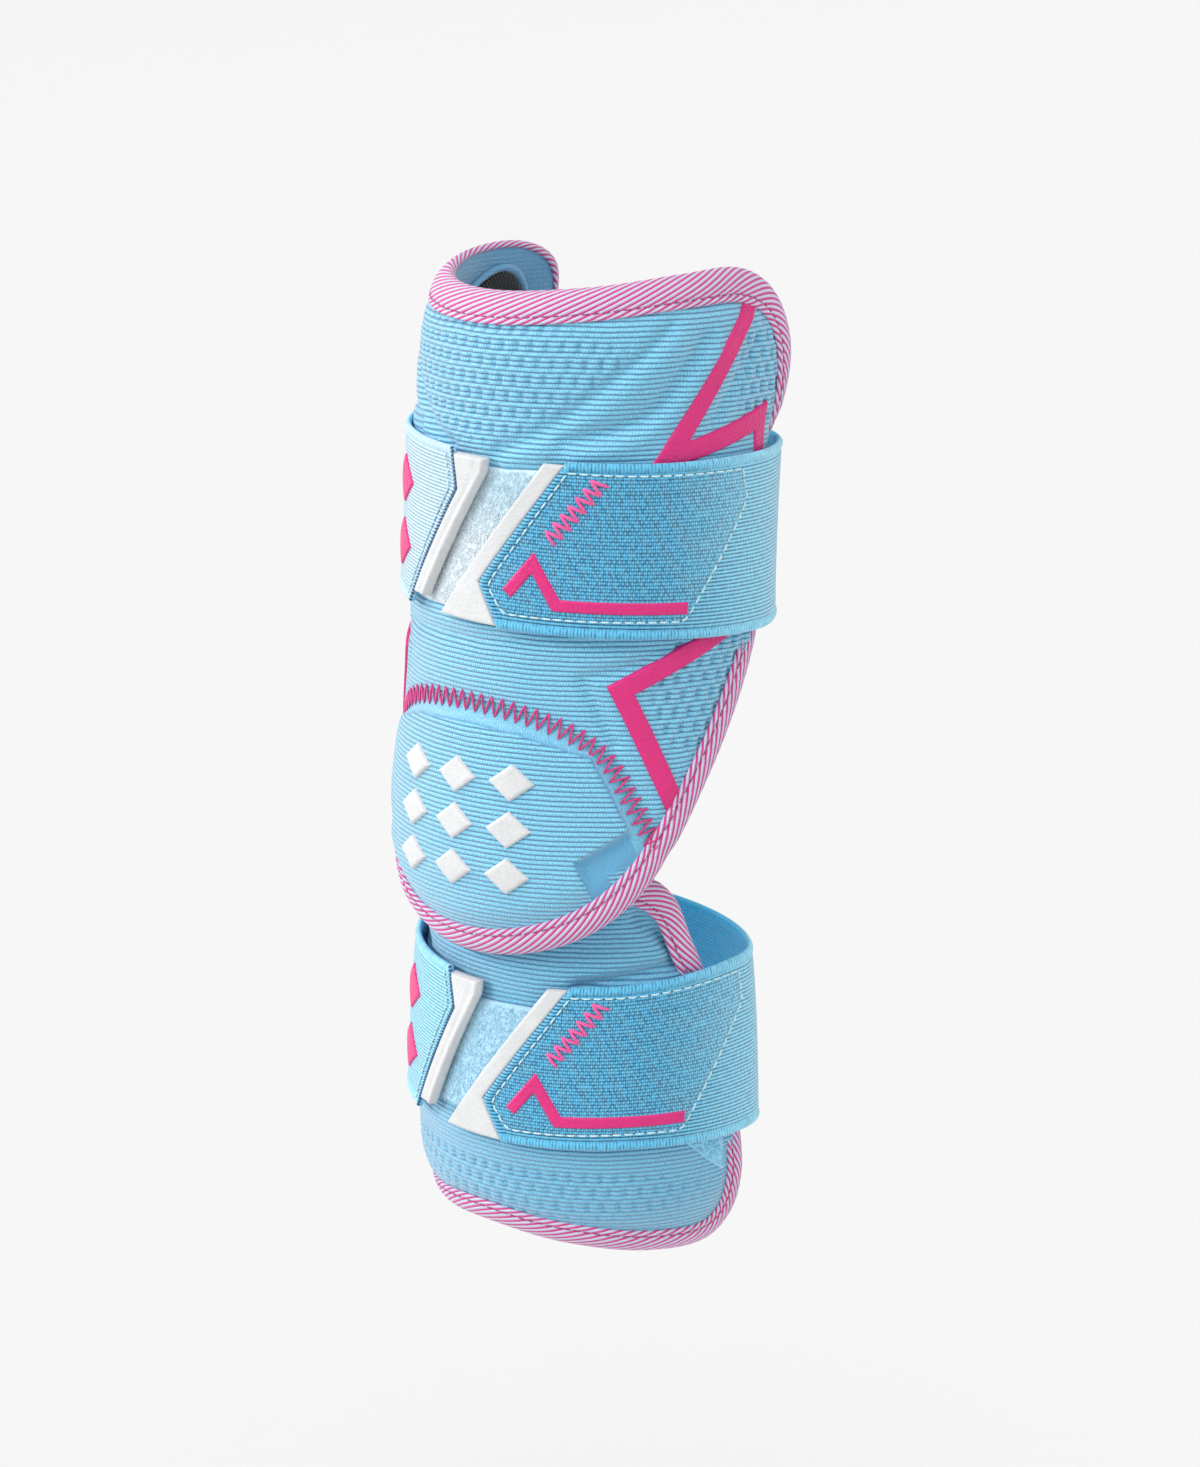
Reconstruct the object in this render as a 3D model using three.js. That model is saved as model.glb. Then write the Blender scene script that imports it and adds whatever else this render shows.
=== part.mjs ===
// Two-piece elbow guard for a batter: an upper pad with an elbow cap, a lower pad tucked inside
// its tongue, a striped tape folded over every pad edge, and two elastic straps with rubber tabs.
// Millimetres. +Z runs up the arm, -Y is the outside of the elbow, and the origin lies on the
// arm's axis at the height of the elbow cap.
// A place on a pad is given by s, the distance round the arm from the front line, positive to
// the right, by its height z, and by n, the distance out from the pad's outer face.
import * as THREE from 'three';

// Clearance and layers
const GAP = 0.4;
const TRIM_GAP = 0.5;
const LINER_GAP = 0.6;
const TAB_GAP = 0.6;
const PATCH_THICKNESS = 1.1;
const STRAP_THICKNESS = 1.5;
const TAB_THICKNESS = 2.2;
const TRIM_THICKNESS = 0.6;
const LINER_THICKNESS = 2.5;

// Edge tape and the squeezed margin under it
const TAPE_WIDTH = 7;
const TAPE_THICKNESS = 0.9;
const TAPE_GAP = 0.6;
const TAPE_WEB = 1.0;
const TAPE_SHOULDER = 1.4;
const PAD_INSET = 1.5;
const RIM_WIDTH = 12;
const OUTER_SQUEEZE = 2.0;
const INNER_SQUEEZE = 3.2;

// Elbow cap seam
const SEAM_DIP = 0.8;
const SEAM_WIDTH = 4;
const EDGE_PITCH = 20;

// Straps
const STRAP_WIDTH = 45;
const STANDOFF_ON_PATCH = 2.1;
const STANDOFF_ON_PAD = 1.75;
const STANDOFF_RAMP = { from: -48, to: -32 };
const FLARE_RAMP = { from: 38, to: 80 };
const LEFT_LIFT = 0.8;
const LIFT_REACH = 28;
const FRONT_COLUMNS = 12;
const BACK_COLUMNS = 12;

// Flat trim
const FLASH_WIDTH = 4.8;
const CHECK_WIDTH = 3.2;
const CAP_DIAMOND_THICKNESS = 1;
const CAP_DIAMOND = { perSide: 3, halfWidth: 6.5, halfHeight: 5, pitchS: 17, pitchZ: 12.5, centreZ: 1.5 };
const STRAP_DIAMOND = { s: -31, halfWidth: 8, halfHeight: 6.5, heights: [14, 31] };
const DIAMOND_TAPER = 0.84;

// Longest facet along a curved panel, stations round each edge tape, strips across each ribbon,
// and the samples and steps that follow a smooth curve
const FACET = 7;
const UPPER_STATIONS = 80;
const LOWER_STATIONS = 60;
const ACROSS = { flash: 2, patch: 4, tab: 2, check: 1 };
const CURVE_SAMPLES = 8;
const RIM_SAMPLES = 4;
const SEAM_SAMPLES = 60;
const EDGE_STEP = 0.02;
const STRAP_STEP = 0.5;

// Pad sections: radius of the front arc, radius of the wing beyond each side, wall thickness
const UPPER_SECTIONS = [
  { z: -45, radius: 51.8, wingRight: 90, wingLeft: 90, wall: 8 },
  { z: -36, radius: 53.8, wingRight: 90, wingLeft: 90, wall: 8 },
  { z: -25, radius: 56.2, wingRight: 90, wingLeft: 90, wall: 8 },
  { z: -8, radius: 57.0, wingRight: 90, wingLeft: 90, wall: 8 },
  { z: 10, radius: 55.4, wingRight: 80, wingLeft: 80, wall: 8 },
  { z: 32, radius: 53.0, wingRight: 65, wingLeft: 65, wall: 7.5 },
  { z: 44, radius: 52.2, wingRight: 42, wingLeft: 42, wall: 7 },
  { z: 56, radius: 51.0, wingRight: 20, wingLeft: 20, wall: 7 },
  { z: 78, radius: 49.6, wingRight: 25, wingLeft: 25, wall: 7 },
  { z: 97, radius: 48.8, wingRight: 31, wingLeft: 30, wall: 7 },
  { z: 108, radius: 48.6, wingRight: 66, wingLeft: 40, wall: 7 },
  { z: 122, radius: 48.2, wingRight: 180, wingLeft: 46, wall: 7 },
  { z: 133, radius: 46.2, wingRight: 240, wingLeft: 44, wall: 7 },
  { z: 147, radius: 41, wingRight: 240, wingLeft: 42, wall: 7 },
];
const LOWER_SECTIONS = [
  { z: -125, radius: 43, wingRight: 120, wingLeft: 120, wall: 7 },
  { z: -114, radius: 47.4, wingRight: 100, wingLeft: 100, wall: 7 },
  { z: -104, radius: 50.6, wingRight: 60, wingLeft: 60, wall: 7 },
  { z: -90, radius: 50.9, wingRight: 24, wingLeft: 24, wall: 7 },
  { z: -66, radius: 50.0, wingRight: 20, wingLeft: 20, wall: 7 },
  { z: -50, radius: 48.8, wingRight: 30, wingLeft: 30, wall: 7 },
  { z: -36, radius: 47.2, wingRight: 60, wingLeft: 60, wall: 7 },
  { z: -20, radius: 46.0, wingRight: 60, wingLeft: 60, wall: 7 },
  { z: 0, radius: 45.6, wingRight: 60, wingLeft: 60, wall: 7 },
];

// Right half of each pad's edge, from the top of the front line round to its foot
const UPPER_EDGE = [
  { s: 0, z: 139.8 },
  { s: 28, z: 141.4 },
  { s: 54, z: 144.0 },
  { s: 76, z: 144.2 },
  { s: 92, z: 138.2 },
  { s: 101, z: 125.5 },
  { s: 103, z: 106 },
  { s: 99.5, z: 82 },
  { s: 92.5, z: 60 },
  { s: 86, z: 43.5 },
  { s: 78.5, z: 27.5 },
  { s: 70, z: 10.5 },
  { s: 61, z: -6 },
  { s: 50, z: -19 },
  { s: 36, z: -28.2 },
  { s: 18, z: -34.2 },
  { s: 0, z: -36.2 },
];
const UPPER_TOP_CORNER = 4;
const SEAM_END = 12;
const LOWER_EDGE = [
  { s: 0, z: -9 },
  { s: 24, z: -10 },
  { s: 44, z: -13.5 },
  { s: 55, z: -20.5 },
  { s: 61.5, z: -32.5 },
  { s: 68.5, z: -46 },
  { s: 77.5, z: -70 },
  { s: 84, z: -94 },
  { s: 83, z: -107 },
  { s: 76.5, z: -117.5 },
  { s: 65, z: -123.2 },
  { s: 46, z: -122.4 },
  { s: 24, z: -119.2 },
  { s: 0, z: -116.6 },
];
const LOWER_TOP_CORNER = 3;
const LOWER_FOOT_CORNER = 9;
const LINER_EDGE = [
  { s: 0, z: 122 },
  { s: 38, z: 124.5 },
  { s: 70, z: 125.5 },
  { s: 83, z: 113 },
  { s: 82, z: 90 },
  { s: 74, z: 62 },
  { s: 64, z: 38 },
  { s: 50, z: 18 },
  { s: 26, z: 11 },
  { s: 0, z: 9 },
];
const LINER_TOP_CORNER = 2;
const LINER_FOOT_CORNER = 7;

// Right half of the seam over the elbow cap, short of the pad's edge
const SEAM = [
  { s: 0, z: 33.2 },
  { s: 18, z: 31.6 },
  { s: 32, z: 27.2 },
  { s: 42, z: 20 },
  { s: 49, z: 9.5 },
  { s: 55, z: 0 },
];

// Centre lines of the flat trim: the side flash and the check on a strap's right end
const FLASH = [
  { s: 78.8, z: 133.8 },
  { s: 53, z: 98.4 },
  { s: 85.5, z: 106.4 },
  { s: 79, z: 56.4 },
  { s: 43.8, z: 38.9 },
  { s: 59.4, z: 10.8 },
];
const CHECK = [
  { s: 13.7, h: 9.6 },
  { s: 20.2, h: 18.4 },
  { s: 26.4, h: 8 },
  { s: 59, h: 8 },
];

// Lower and upper edges of the hook-and-loop patches
const UPPER_PATCH = {
  foot: [{ s: -28, z: 63 }, { s: -22, z: 57 }, { s: 62, z: 57 }, { s: 68, z: 63 }],
  head: [{ s: -28, z: 89 }, { s: -22, z: 95 }, { s: 34, z: 96 }, { s: 42, z: 89 }, { s: 68, z: 86 }],
};
const LOWER_PATCH = {
  foot: [{ s: -28, z: -77 }, { s: -22, z: -82 }, { s: 26, z: -86 }, { s: 40, z: -92.8 }, { s: 71, z: -96 }],
  head: [{ s: -28, z: -56 }, { s: -22, z: -50 }, { s: 56, z: -50 }, { s: 63, z: -62 }, { s: 71, z: -82 }],
};

// A strap's two ends: distance round the arm at each height h above the strap's lower edge
const RIGHT_END = [{ h: 0, s: 11 }, { h: 11.2, s: 5.1 }, { h: 45, s: 27.7 }];
const LEFT_END = [{ h: 0, s: -20.9 }, { h: 34.4, s: -1.4 }, { h: 45, s: -1.8 }];
const RIGHT_TAB_TIP = [{ h: 0.3, s: -7.9 }, { h: 44, s: 21.8 }];
const LEFT_TAB_TIP = [{ h: 3.4, s: -13.4 }, { h: 39.7, s: 6.6 }, { h: 43.6, s: 7.1 }];
const STRAPS = [
  {
    name: 'upper',
    sections: UPPER_SECTIONS,
    foot: 55,
    tilt: -0.055,
    pitch: 0,
    flare: 1.5,
    wing: { foot: 18, head: 34 },
    leave: { foot: 90, head: 98 },
    back: 36,
    leftShift: 0,
  },
  {
    name: 'lower',
    sections: LOWER_SECTIONS,
    foot: -87.5,
    tilt: -0.02,
    pitch: 0.055,
    flare: 4,
    wing: { foot: 9, head: 10 },
    leave: { foot: 88, head: 82 },
    back: 24,
    leftShift: -4,
  },
];

const finish = (color, roughness) => new THREE.MeshStandardMaterial({ color, roughness, metalness: 0 });
const PAD_FABRIC = finish('#7fc3e4', 0.85);
const EDGE_TAPE = finish('#dd86ba', 0.75);
const STRAP_ELASTIC = finish('#5fa9cf', 0.8);
const LOOP_PILE = finish('#a9d6ec', 0.95);
const WHITE_RUBBER = finish('#f2f2f2', 0.55);
const PINK_RUBBER = finish('#d8327f', 0.5);
const LINER_MESH = finish('#1b1c1f', 0.9);

const guard = new THREE.Group();

function addPiece(name, geometry, material) {
  const piece = new THREE.Mesh(geometry, material);
  piece.name = name;
  guard.add(piece);
}

// Value of a section column at height z: a cubic through the rows with central slopes
function atHeight(rows, z, read) {
  const last = rows.length - 1;
  const clamped = THREE.MathUtils.clamp(z, rows[0].z, rows[last].z);
  const next = Math.max(1, rows.findIndex((row) => row.z >= clamped));
  const slope = (k) => {
    const below = rows[Math.max(k - 1, 0)];
    const above = rows[Math.min(k + 1, last)];
    return (read(above) - read(below)) / (above.z - below.z);
  };
  const lower = rows[next - 1];
  const upper = rows[next];
  const span = upper.z - lower.z;
  const t = (clamped - lower.z) / span;
  const rise = t * t * (3 - 2 * t);
  return (
    read(lower) * (1 - rise) +
    read(upper) * rise +
    span * slope(next - 1) * t * (1 - t) * (1 - t) -
    span * slope(next) * t * t * (1 - t)
  );
}

// Point of a pad: a front arc as far as the sides, then a wing arc of another radius
function place(sections, s, z, n, wing) {
  const radius = atHeight(sections, z, (row) => row.radius);
  const padBend = (row) => 1 / (s > 0 ? row.wingRight : row.wingLeft);
  const bend = wing ? 1 / wing : atHeight(sections, z, padBend);
  const quarter = (radius * Math.PI) / 2;
  const angle = Math.min(Math.abs(s), quarter) / radius;
  const turn = Math.max(Math.abs(s) - quarter, 0) * bend;
  const onWing = turn > 0;
  const outX = onWing ? Math.cos(turn) : Math.sin(angle);
  const outY = onWing ? Math.sin(turn) : -Math.cos(angle);
  const x = radius * Math.sin(angle) - (1 - Math.cos(turn)) / bend + n * outX;
  const y = -radius * Math.cos(angle) + Math.sin(turn) / bend + n * outY;
  return new THREE.Vector3(Math.sign(s) * x, y, z);
}

// Closed edge from its right half: the left half is its mirror image
function closeLoop(half) {
  const right = half.map((row) => new THREE.Vector2(row.s, row.z));
  const left = right.slice(1, -1).reverse().map((point) => new THREE.Vector2(-point.x, point.y));
  return [...right, ...left];
}

// Smooth closed curve through the points: t counts points, and whole numbers hit them
function loopAt(points, t) {
  const count = points.length;
  const base = Math.floor(t);
  const f = t - base;
  const pick = (k) => points[(((base + k) % count) + count) % count];
  const blend = (a, b, c, d) =>
    0.5 * (2 * b + (c - a) * f + (2 * a - 5 * b + 4 * c - d) * f * f + (3 * b - a - 3 * c + d) * f * f * f);
  const [a, b, c, d] = [pick(-1), pick(0), pick(1), pick(2)];
  return new THREE.Vector2(blend(a.x, b.x, c.x, d.x), blend(a.y, b.y, c.y, d.y));
}

// Point a given depth inside a closed edge that runs clockwise
function insetAt(points, t, depth) {
  const tangent = loopAt(points, t + EDGE_STEP).sub(loopAt(points, t - EDGE_STEP)).normalize();
  return loopAt(points, t).add(new THREE.Vector2(tangent.y, -tangent.x).multiplyScalar(depth));
}

// Evenly spaced points along a curve given as a function of t
function evenly(curve, from, to, count) {
  const samples = CURVE_SAMPLES * count;
  const dense = Array.from({ length: samples + 1 }, (_, k) => curve(from + ((to - from) * k) / samples));
  return new THREE.SplineCurve(dense).getSpacedPoints(count);
}

// Shortest distance from a point to a chain of points
function distanceTo(chain, point) {
  const edge = new THREE.Line3();
  const target = new THREE.Vector3(point.x, point.y, 0);
  const nearest = new THREE.Vector3();
  let best = Infinity;
  for (let k = 1; k < chain.length; k += 1) {
    edge.start.set(chain[k - 1].x, chain[k - 1].y, 0);
    edge.end.set(chain[k].x, chain[k].y, 0);
    edge.closestPointToPoint(target, true, nearest);
    best = Math.min(best, nearest.distanceTo(target));
  }
  return best;
}

// Value of a table of straight runs
function onChain(rows, key, value, at) {
  const next = THREE.MathUtils.clamp(rows.findIndex((row) => row[key] >= at), 1, rows.length - 1);
  const before = rows[next - 1];
  const after = rows[next];
  return THREE.MathUtils.mapLinear(at, before[key], after[key], before[value], after[value]);
}

// Stations between two values that include the given corners and leave no run over the step
function stations(corners, step) {
  const list = [corners[0]];
  for (let k = 1; k < corners.length; k += 1) {
    const parts = Math.max(1, Math.ceil((corners[k] - corners[k - 1]) / step));
    for (let part = 1; part <= parts; part += 1) {
      list.push(THREE.MathUtils.lerp(corners[k - 1], corners[k], part / parts));
    }
  }
  return list;
}

// Closed geometry from points and quads or triangles, turned so that its faces point out
function solid(points, faces) {
  const triangles = [];
  for (const face of faces) {
    for (let k = 2; k < face.length; k += 1) triangles.push([face[0], face[k - 1], face[k]]);
  }
  let volume = 0;
  for (const [a, b, c] of triangles) {
    volume += points[a].dot(new THREE.Vector3().crossVectors(points[b], points[c]));
  }
  const index = triangles.flatMap(([a, b, c]) => (volume > 0 ? [a, b, c] : [a, c, b]));
  const geometry = new THREE.BufferGeometry().setFromPoints(points);
  geometry.setIndex(index);
  geometry.computeVertexNormals();
  return geometry;
}

// Slab between an outer and an inner grid of points, with a wall round its edge
function slab(rows, columns, outer, inner) {
  const points = [];
  for (const sheet of [outer, inner]) {
    for (let i = 0; i <= rows; i += 1) {
      for (let j = 0; j <= columns; j += 1) points.push(sheet(i, j));
    }
  }
  const sheetSize = (rows + 1) * (columns + 1);
  const at = (i, j) => i * (columns + 1) + j;
  const faces = [];
  for (let i = 0; i < rows; i += 1) {
    for (let j = 0; j < columns; j += 1) {
      const quad = [at(i, j), at(i, j + 1), at(i + 1, j + 1), at(i + 1, j)];
      faces.push(quad, quad.map((k) => k + sheetSize).reverse());
    }
  }
  const rim = [];
  for (let j = 0; j < columns; j += 1) rim.push(at(0, j));
  for (let i = 0; i < rows; i += 1) rim.push(at(i, columns));
  for (let j = columns; j > 0; j -= 1) rim.push(at(rows, j));
  for (let i = rows; i > 0; i -= 1) rim.push(at(i, 0));
  rim.forEach((a, k) => {
    const b = rim[(k + 1) % rim.length];
    faces.push([b, a, a + sheetSize, b + sheetSize]);
  });
  return solid(points, faces);
}

// Slab with a round outline: rings of a boundary drawn in towards a centre point
function dome(boundary, centre, rings, outer, inner) {
  const around = boundary.length;
  const sheetSize = rings.length * around + 1;
  const points = [];
  for (const sheet of [outer, inner]) {
    for (const ring of rings) {
      for (const point of boundary) points.push(sheet(centre.clone().lerp(point, ring)));
    }
    points.push(sheet(centre));
  }
  const faces = [];
  for (let k = 0; k < around; k += 1) {
    const next = (k + 1) % around;
    for (let ring = 0; ring + 1 < rings.length; ring += 1) {
      const from = ring * around;
      const quad = [from + k, from + next, from + around + next, from + around + k];
      faces.push(quad, quad.map((p) => p + sheetSize).reverse());
    }
    const last = (rings.length - 1) * around;
    const fan = [last + k, last + next, sheetSize - 1];
    faces.push(fan, fan.map((p) => p + sheetSize).reverse());
    faces.push([next, k, k + sheetSize, next + sheetSize]);
  }
  return solid(points, faces);
}

// Closed ring from cross-section loops, one loop of points per station
function torus(loops) {
  const around = loops[0].length;
  const faces = [];
  loops.forEach((_, k) => {
    const here = k * around;
    const there = ((k + 1) % loops.length) * around;
    for (let m = 0; m < around; m += 1) {
      const n = (m + 1) % around;
      faces.push([here + m, there + m, there + n, here + n]);
    }
  });
  return solid(loops.flat(), faces);
}

// Ribbon between two edges with as many points each, lifted off a surface
function ribbon(edgeA, edgeB, across, toPoint, low, high) {
  const sheet = (n) => (i, j) => {
    const point = edgeA[i].clone().lerp(edgeB[i], j / across);
    return toPoint(point.x, point.y, n);
  };
  return slab(edgeA.length - 1, across, sheet(high), sheet(low));
}

// The two edges of a mitred band of a given width along a chain, with facets of bounded length
function bandEdges(chain, width) {
  const side = (k, sign) => {
    const inward = chain[Math.max(k, 1)].clone().sub(chain[Math.max(k, 1) - 1]).normalize();
    const after = Math.min(k, chain.length - 2);
    const outward = chain[after + 1].clone().sub(chain[after]).normalize();
    const normalIn = new THREE.Vector2(-inward.y, inward.x);
    const normalOut = new THREE.Vector2(-outward.y, outward.x);
    const mitre = normalIn.clone().add(normalOut).normalize();
    const reach = width / 2 / mitre.dot(normalIn);
    return chain[k].clone().addScaledVector(mitre, sign * reach);
  };
  const edges = [[], []];
  for (let k = 0; k + 1 < chain.length; k += 1) {
    const parts = Math.ceil(chain[k].distanceTo(chain[k + 1]) / FACET);
    for (let part = k === 0 ? 0 : 1; part <= parts; part += 1) {
      edges[0].push(side(k, 1).lerp(side(k + 1, 1), part / parts));
      edges[1].push(side(k, -1).lerp(side(k + 1, -1), part / parts));
    }
  }
  return edges;
}

// Grid over a patch with four edges: the edges blend into each other across it
function coons(foot, head, left, right) {
  const columns = foot.length - 1;
  const rows = left.length - 1;
  return (i, j) => {
    const u = j / columns;
    const v = i / rows;
    const across = foot[j].clone().lerp(head[j], v);
    const up = left[i].clone().lerp(right[i], u);
    const lowCorner = foot[0].clone().lerp(foot[columns], u);
    const highCorner = head[0].clone().lerp(head[columns], u);
    return across.add(up).sub(lowCorner.lerp(highCorner, v));
  };
}

// A pad's faces: squeezed towards the tape round the edge, and dipped along its seam
function makePad(sections, half) {
  const edge = closeLoop(half);
  const pad = { sections, edge, seam: null };
  const rimLine = evenly((t) => loopAt(edge, t), 0, edge.length, RIM_SAMPLES * edge.length);
  const squeeze = (point) => Math.max(0, 1 - distanceTo(rimLine, point) / RIM_WIDTH);
  pad.outerLift = (point) => {
    const dip = pad.seam ? Math.max(0, 1 - distanceTo(pad.seam, point) / SEAM_WIDTH) : 0;
    return -OUTER_SQUEEZE * squeeze(point) - SEAM_DIP * dip;
  };
  pad.innerLift = (point) =>
    INNER_SQUEEZE * squeeze(point) - atHeight(sections, point.y, (row) => row.wall);
  pad.outer = (point) => place(sections, point.x, point.y, pad.outerLift(point));
  pad.inner = (point) => place(sections, point.x, point.y, pad.innerLift(point));
  pad.over = (s, z, n) => place(sections, s, z, n + pad.outerLift(new THREE.Vector2(s, z)));
  return pad;
}

// Tape folded over a pad's edge: a channel section carried round the closed edge
function tape(pad, count) {
  const loops = [];
  for (let k = 0; k < count; k += 1) {
    const t = (k * pad.edge.length) / count;
    const on = (depth, lift, extra) => {
      const point = insetAt(pad.edge, t, depth);
      return place(pad.sections, point.x, point.y, lift(point) + extra);
    };
    const cover = TAPE_GAP + TAPE_THICKNESS;
    loops.push([
      on(TAPE_WIDTH, pad.outerLift, TAPE_GAP),
      on(TAPE_WIDTH, pad.outerLift, cover),
      on(TAPE_SHOULDER, pad.outerLift, cover),
      on(0, pad.outerLift, -TAPE_GAP / 2),
      on(0, pad.innerLift, TAPE_GAP / 2),
      on(TAPE_SHOULDER, pad.innerLift, -cover),
      on(TAPE_WIDTH, pad.innerLift, -cover),
      on(TAPE_WIDTH, pad.innerLift, -TAPE_GAP),
      on(TAPE_WEB, pad.innerLift, -TAPE_GAP),
      on(TAPE_WEB, pad.outerLift, TAPE_GAP),
    ]);
  }
  return torus(loops);
}

// Upper pad and elbow cap, parted by the seam
const upper = makePad(UPPER_SECTIONS, UPPER_EDGE);
const upperCount = upper.edge.length;
const seamPart = GAP / 2 / EDGE_PITCH;
const seamCurve = (shift, part) => {
  const end = insetAt(upper.edge, SEAM_END + part, PAD_INSET);
  const spread = (point) => point.setLength(point.length() + shift);
  const right = SEAM.map((row) => spread(new THREE.Vector2(row.s, row.z)));
  const left = right.slice(1).reverse().map((point) => new THREE.Vector2(-point.x, point.y));
  return new THREE.SplineCurve([new THREE.Vector2(-end.x, end.y), ...left, ...right, end]);
};
upper.seam = seamCurve(0, 0).getSpacedPoints(SEAM_SAMPLES);

const BODY_COLUMNS = 28;
const BODY_ROWS = 18;
const padEdge = (pad, from, to, count) => evenly((t) => insetAt(pad.edge, t, PAD_INSET), from, to, count);
const padSlab = (pad, rows, columns, grid) =>
  slab(rows, columns, (i, j) => pad.outer(grid(i, j)), (i, j) => pad.inner(grid(i, j)));
const bodyGrid = coons(
  seamCurve(GAP / 2, -seamPart).getSpacedPoints(BODY_COLUMNS),
  padEdge(upper, upperCount - UPPER_TOP_CORNER, upperCount + UPPER_TOP_CORNER, BODY_COLUMNS),
  padEdge(upper, upperCount - SEAM_END + seamPart, upperCount - UPPER_TOP_CORNER, BODY_ROWS),
  padEdge(upper, SEAM_END - seamPart, UPPER_TOP_CORNER, BODY_ROWS),
);
addPiece('upper_body', padSlab(upper, BODY_ROWS, BODY_COLUMNS, bodyGrid), PAD_FABRIC);

const CAP_SIDE = 24;
const CAP_RINGS = [1, 0.88, 0.68, 0.42];
const capFoot = padEdge(upper, SEAM_END + seamPart, upperCount - SEAM_END - seamPart, CAP_SIDE);
const capHead = seamCurve(-GAP / 2, seamPart).getSpacedPoints(CAP_SIDE);
const capBoundary = [...capFoot.slice(0, -1), ...capHead.slice(0, -1)];
const capCentre = new THREE.Vector2(0, 0);
addPiece('elbow_cap', dome(capBoundary, capCentre, CAP_RINGS, upper.outer, upper.inner), PAD_FABRIC);
addPiece('upper_binding', tape(upper, UPPER_STATIONS), EDGE_TAPE);

// Lower pad
const lower = makePad(LOWER_SECTIONS, LOWER_EDGE);
const lowerCount = lower.edge.length;
const LOWER_COLUMNS = 22;
const LOWER_ROWS = 13;
const lowerGrid = coons(
  padEdge(lower, lowerCount - LOWER_FOOT_CORNER, LOWER_FOOT_CORNER, LOWER_COLUMNS),
  padEdge(lower, lowerCount - LOWER_TOP_CORNER, lowerCount + LOWER_TOP_CORNER, LOWER_COLUMNS),
  padEdge(lower, lowerCount - LOWER_FOOT_CORNER, lowerCount - LOWER_TOP_CORNER, LOWER_ROWS),
  padEdge(lower, LOWER_FOOT_CORNER, LOWER_TOP_CORNER, LOWER_ROWS),
);
addPiece('lower_body', padSlab(lower, LOWER_ROWS, LOWER_COLUMNS, lowerGrid), PAD_FABRIC);
addPiece('lower_binding', tape(lower, LOWER_STATIONS), EDGE_TAPE);

// Dark liner inside the upper pad
const linerLoop = closeLoop(LINER_EDGE);
const linerCount = linerLoop.length;
const LINER_COLUMNS = 16;
const LINER_ROWS = 8;
const linerEdge = (from, to, count) => evenly((t) => loopAt(linerLoop, t), from, to, count);
const linerGrid = coons(
  linerEdge(linerCount - LINER_FOOT_CORNER, LINER_FOOT_CORNER, LINER_COLUMNS),
  linerEdge(linerCount - LINER_TOP_CORNER, linerCount + LINER_TOP_CORNER, LINER_COLUMNS),
  linerEdge(linerCount - LINER_FOOT_CORNER, linerCount - LINER_TOP_CORNER, LINER_ROWS),
  linerEdge(LINER_FOOT_CORNER, LINER_TOP_CORNER, LINER_ROWS),
);
const linerSheet = (depth) => (i, j) => {
  const point = linerGrid(i, j);
  return place(UPPER_SECTIONS, point.x, point.y, upper.innerLift(point) - depth);
};
addPiece(
  'upper_liner',
  slab(LINER_ROWS, LINER_COLUMNS, linerSheet(LINER_GAP), linerSheet(LINER_GAP + LINER_THICKNESS)),
  LINER_MESH,
);

// Rubber flash on each side of the upper pad
for (const [name, sign] of [['right', 1], ['left', -1]]) {
  const chain = FLASH.map((row) => new THREE.Vector2(sign * row.s, row.z));
  const [edgeA, edgeB] = bandEdges(chain, FLASH_WIDTH);
  addPiece(
    `flash_${name}`,
    ribbon(edgeA, edgeB, ACROSS.flash, upper.over, TRIM_GAP, TRIM_GAP + TRIM_THICKNESS),
    PINK_RUBBER,
  );
}

// Plain rubber diamonds, tapered towards the top
function diamond(centre, size, toPoint, low, high) {
  const corners = [
    [size.halfWidth, 0],
    [size.halfWidth / 2, size.halfHeight / 2],
    [0, size.halfHeight],
    [-size.halfWidth / 2, size.halfHeight / 2],
    [-size.halfWidth, 0],
    [-size.halfWidth / 2, -size.halfHeight / 2],
    [0, -size.halfHeight],
    [size.halfWidth / 2, -size.halfHeight / 2],
  ];
  const boundary = corners.map(([ds, dz]) => new THREE.Vector2(centre.x + ds, centre.y + dz));
  const top = (point) => {
    const drawn = centre.clone().lerp(point, DIAMOND_TAPER);
    return toPoint(drawn.x, drawn.y, high);
  };
  return dome(boundary, centre, [1], top, (point) => toPoint(point.x, point.y, low));
}
const middle = (CAP_DIAMOND.perSide - 1) / 2;
for (let row = 0; row < CAP_DIAMOND.perSide; row += 1) {
  for (let column = 0; column < CAP_DIAMOND.perSide; column += 1) {
    const centre = new THREE.Vector2(
      (column - middle) * CAP_DIAMOND.pitchS,
      CAP_DIAMOND.centreZ + (middle - row) * CAP_DIAMOND.pitchZ,
    );
    addPiece(
      `cap_diamond_${CAP_DIAMOND.perSide * row + column + 1}`,
      diamond(centre, CAP_DIAMOND, upper.over, GAP, GAP + CAP_DIAMOND_THICKNESS),
      WHITE_RUBBER,
    );
  }
}

// Hook-and-loop patches under the straps' ends
for (const [name, pad, shape] of [['upper', upper, UPPER_PATCH], ['lower', lower, LOWER_PATCH]]) {
  const corners = [...new Set([...shape.foot, ...shape.head].map((row) => row.s))].sort((a, b) => a - b);
  const columns = stations(corners, FACET);
  const foot = columns.map((s) => new THREE.Vector2(s, onChain(shape.foot, 's', 'z', s)));
  const head = columns.map((s) => new THREE.Vector2(s, onChain(shape.head, 's', 'z', s)));
  addPiece(
    `${name}_loop_patch`,
    ribbon(foot, head, ACROSS.patch, pad.over, GAP, GAP + PATCH_THICKNESS),
    LOOP_PILE,
  );
}

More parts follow.
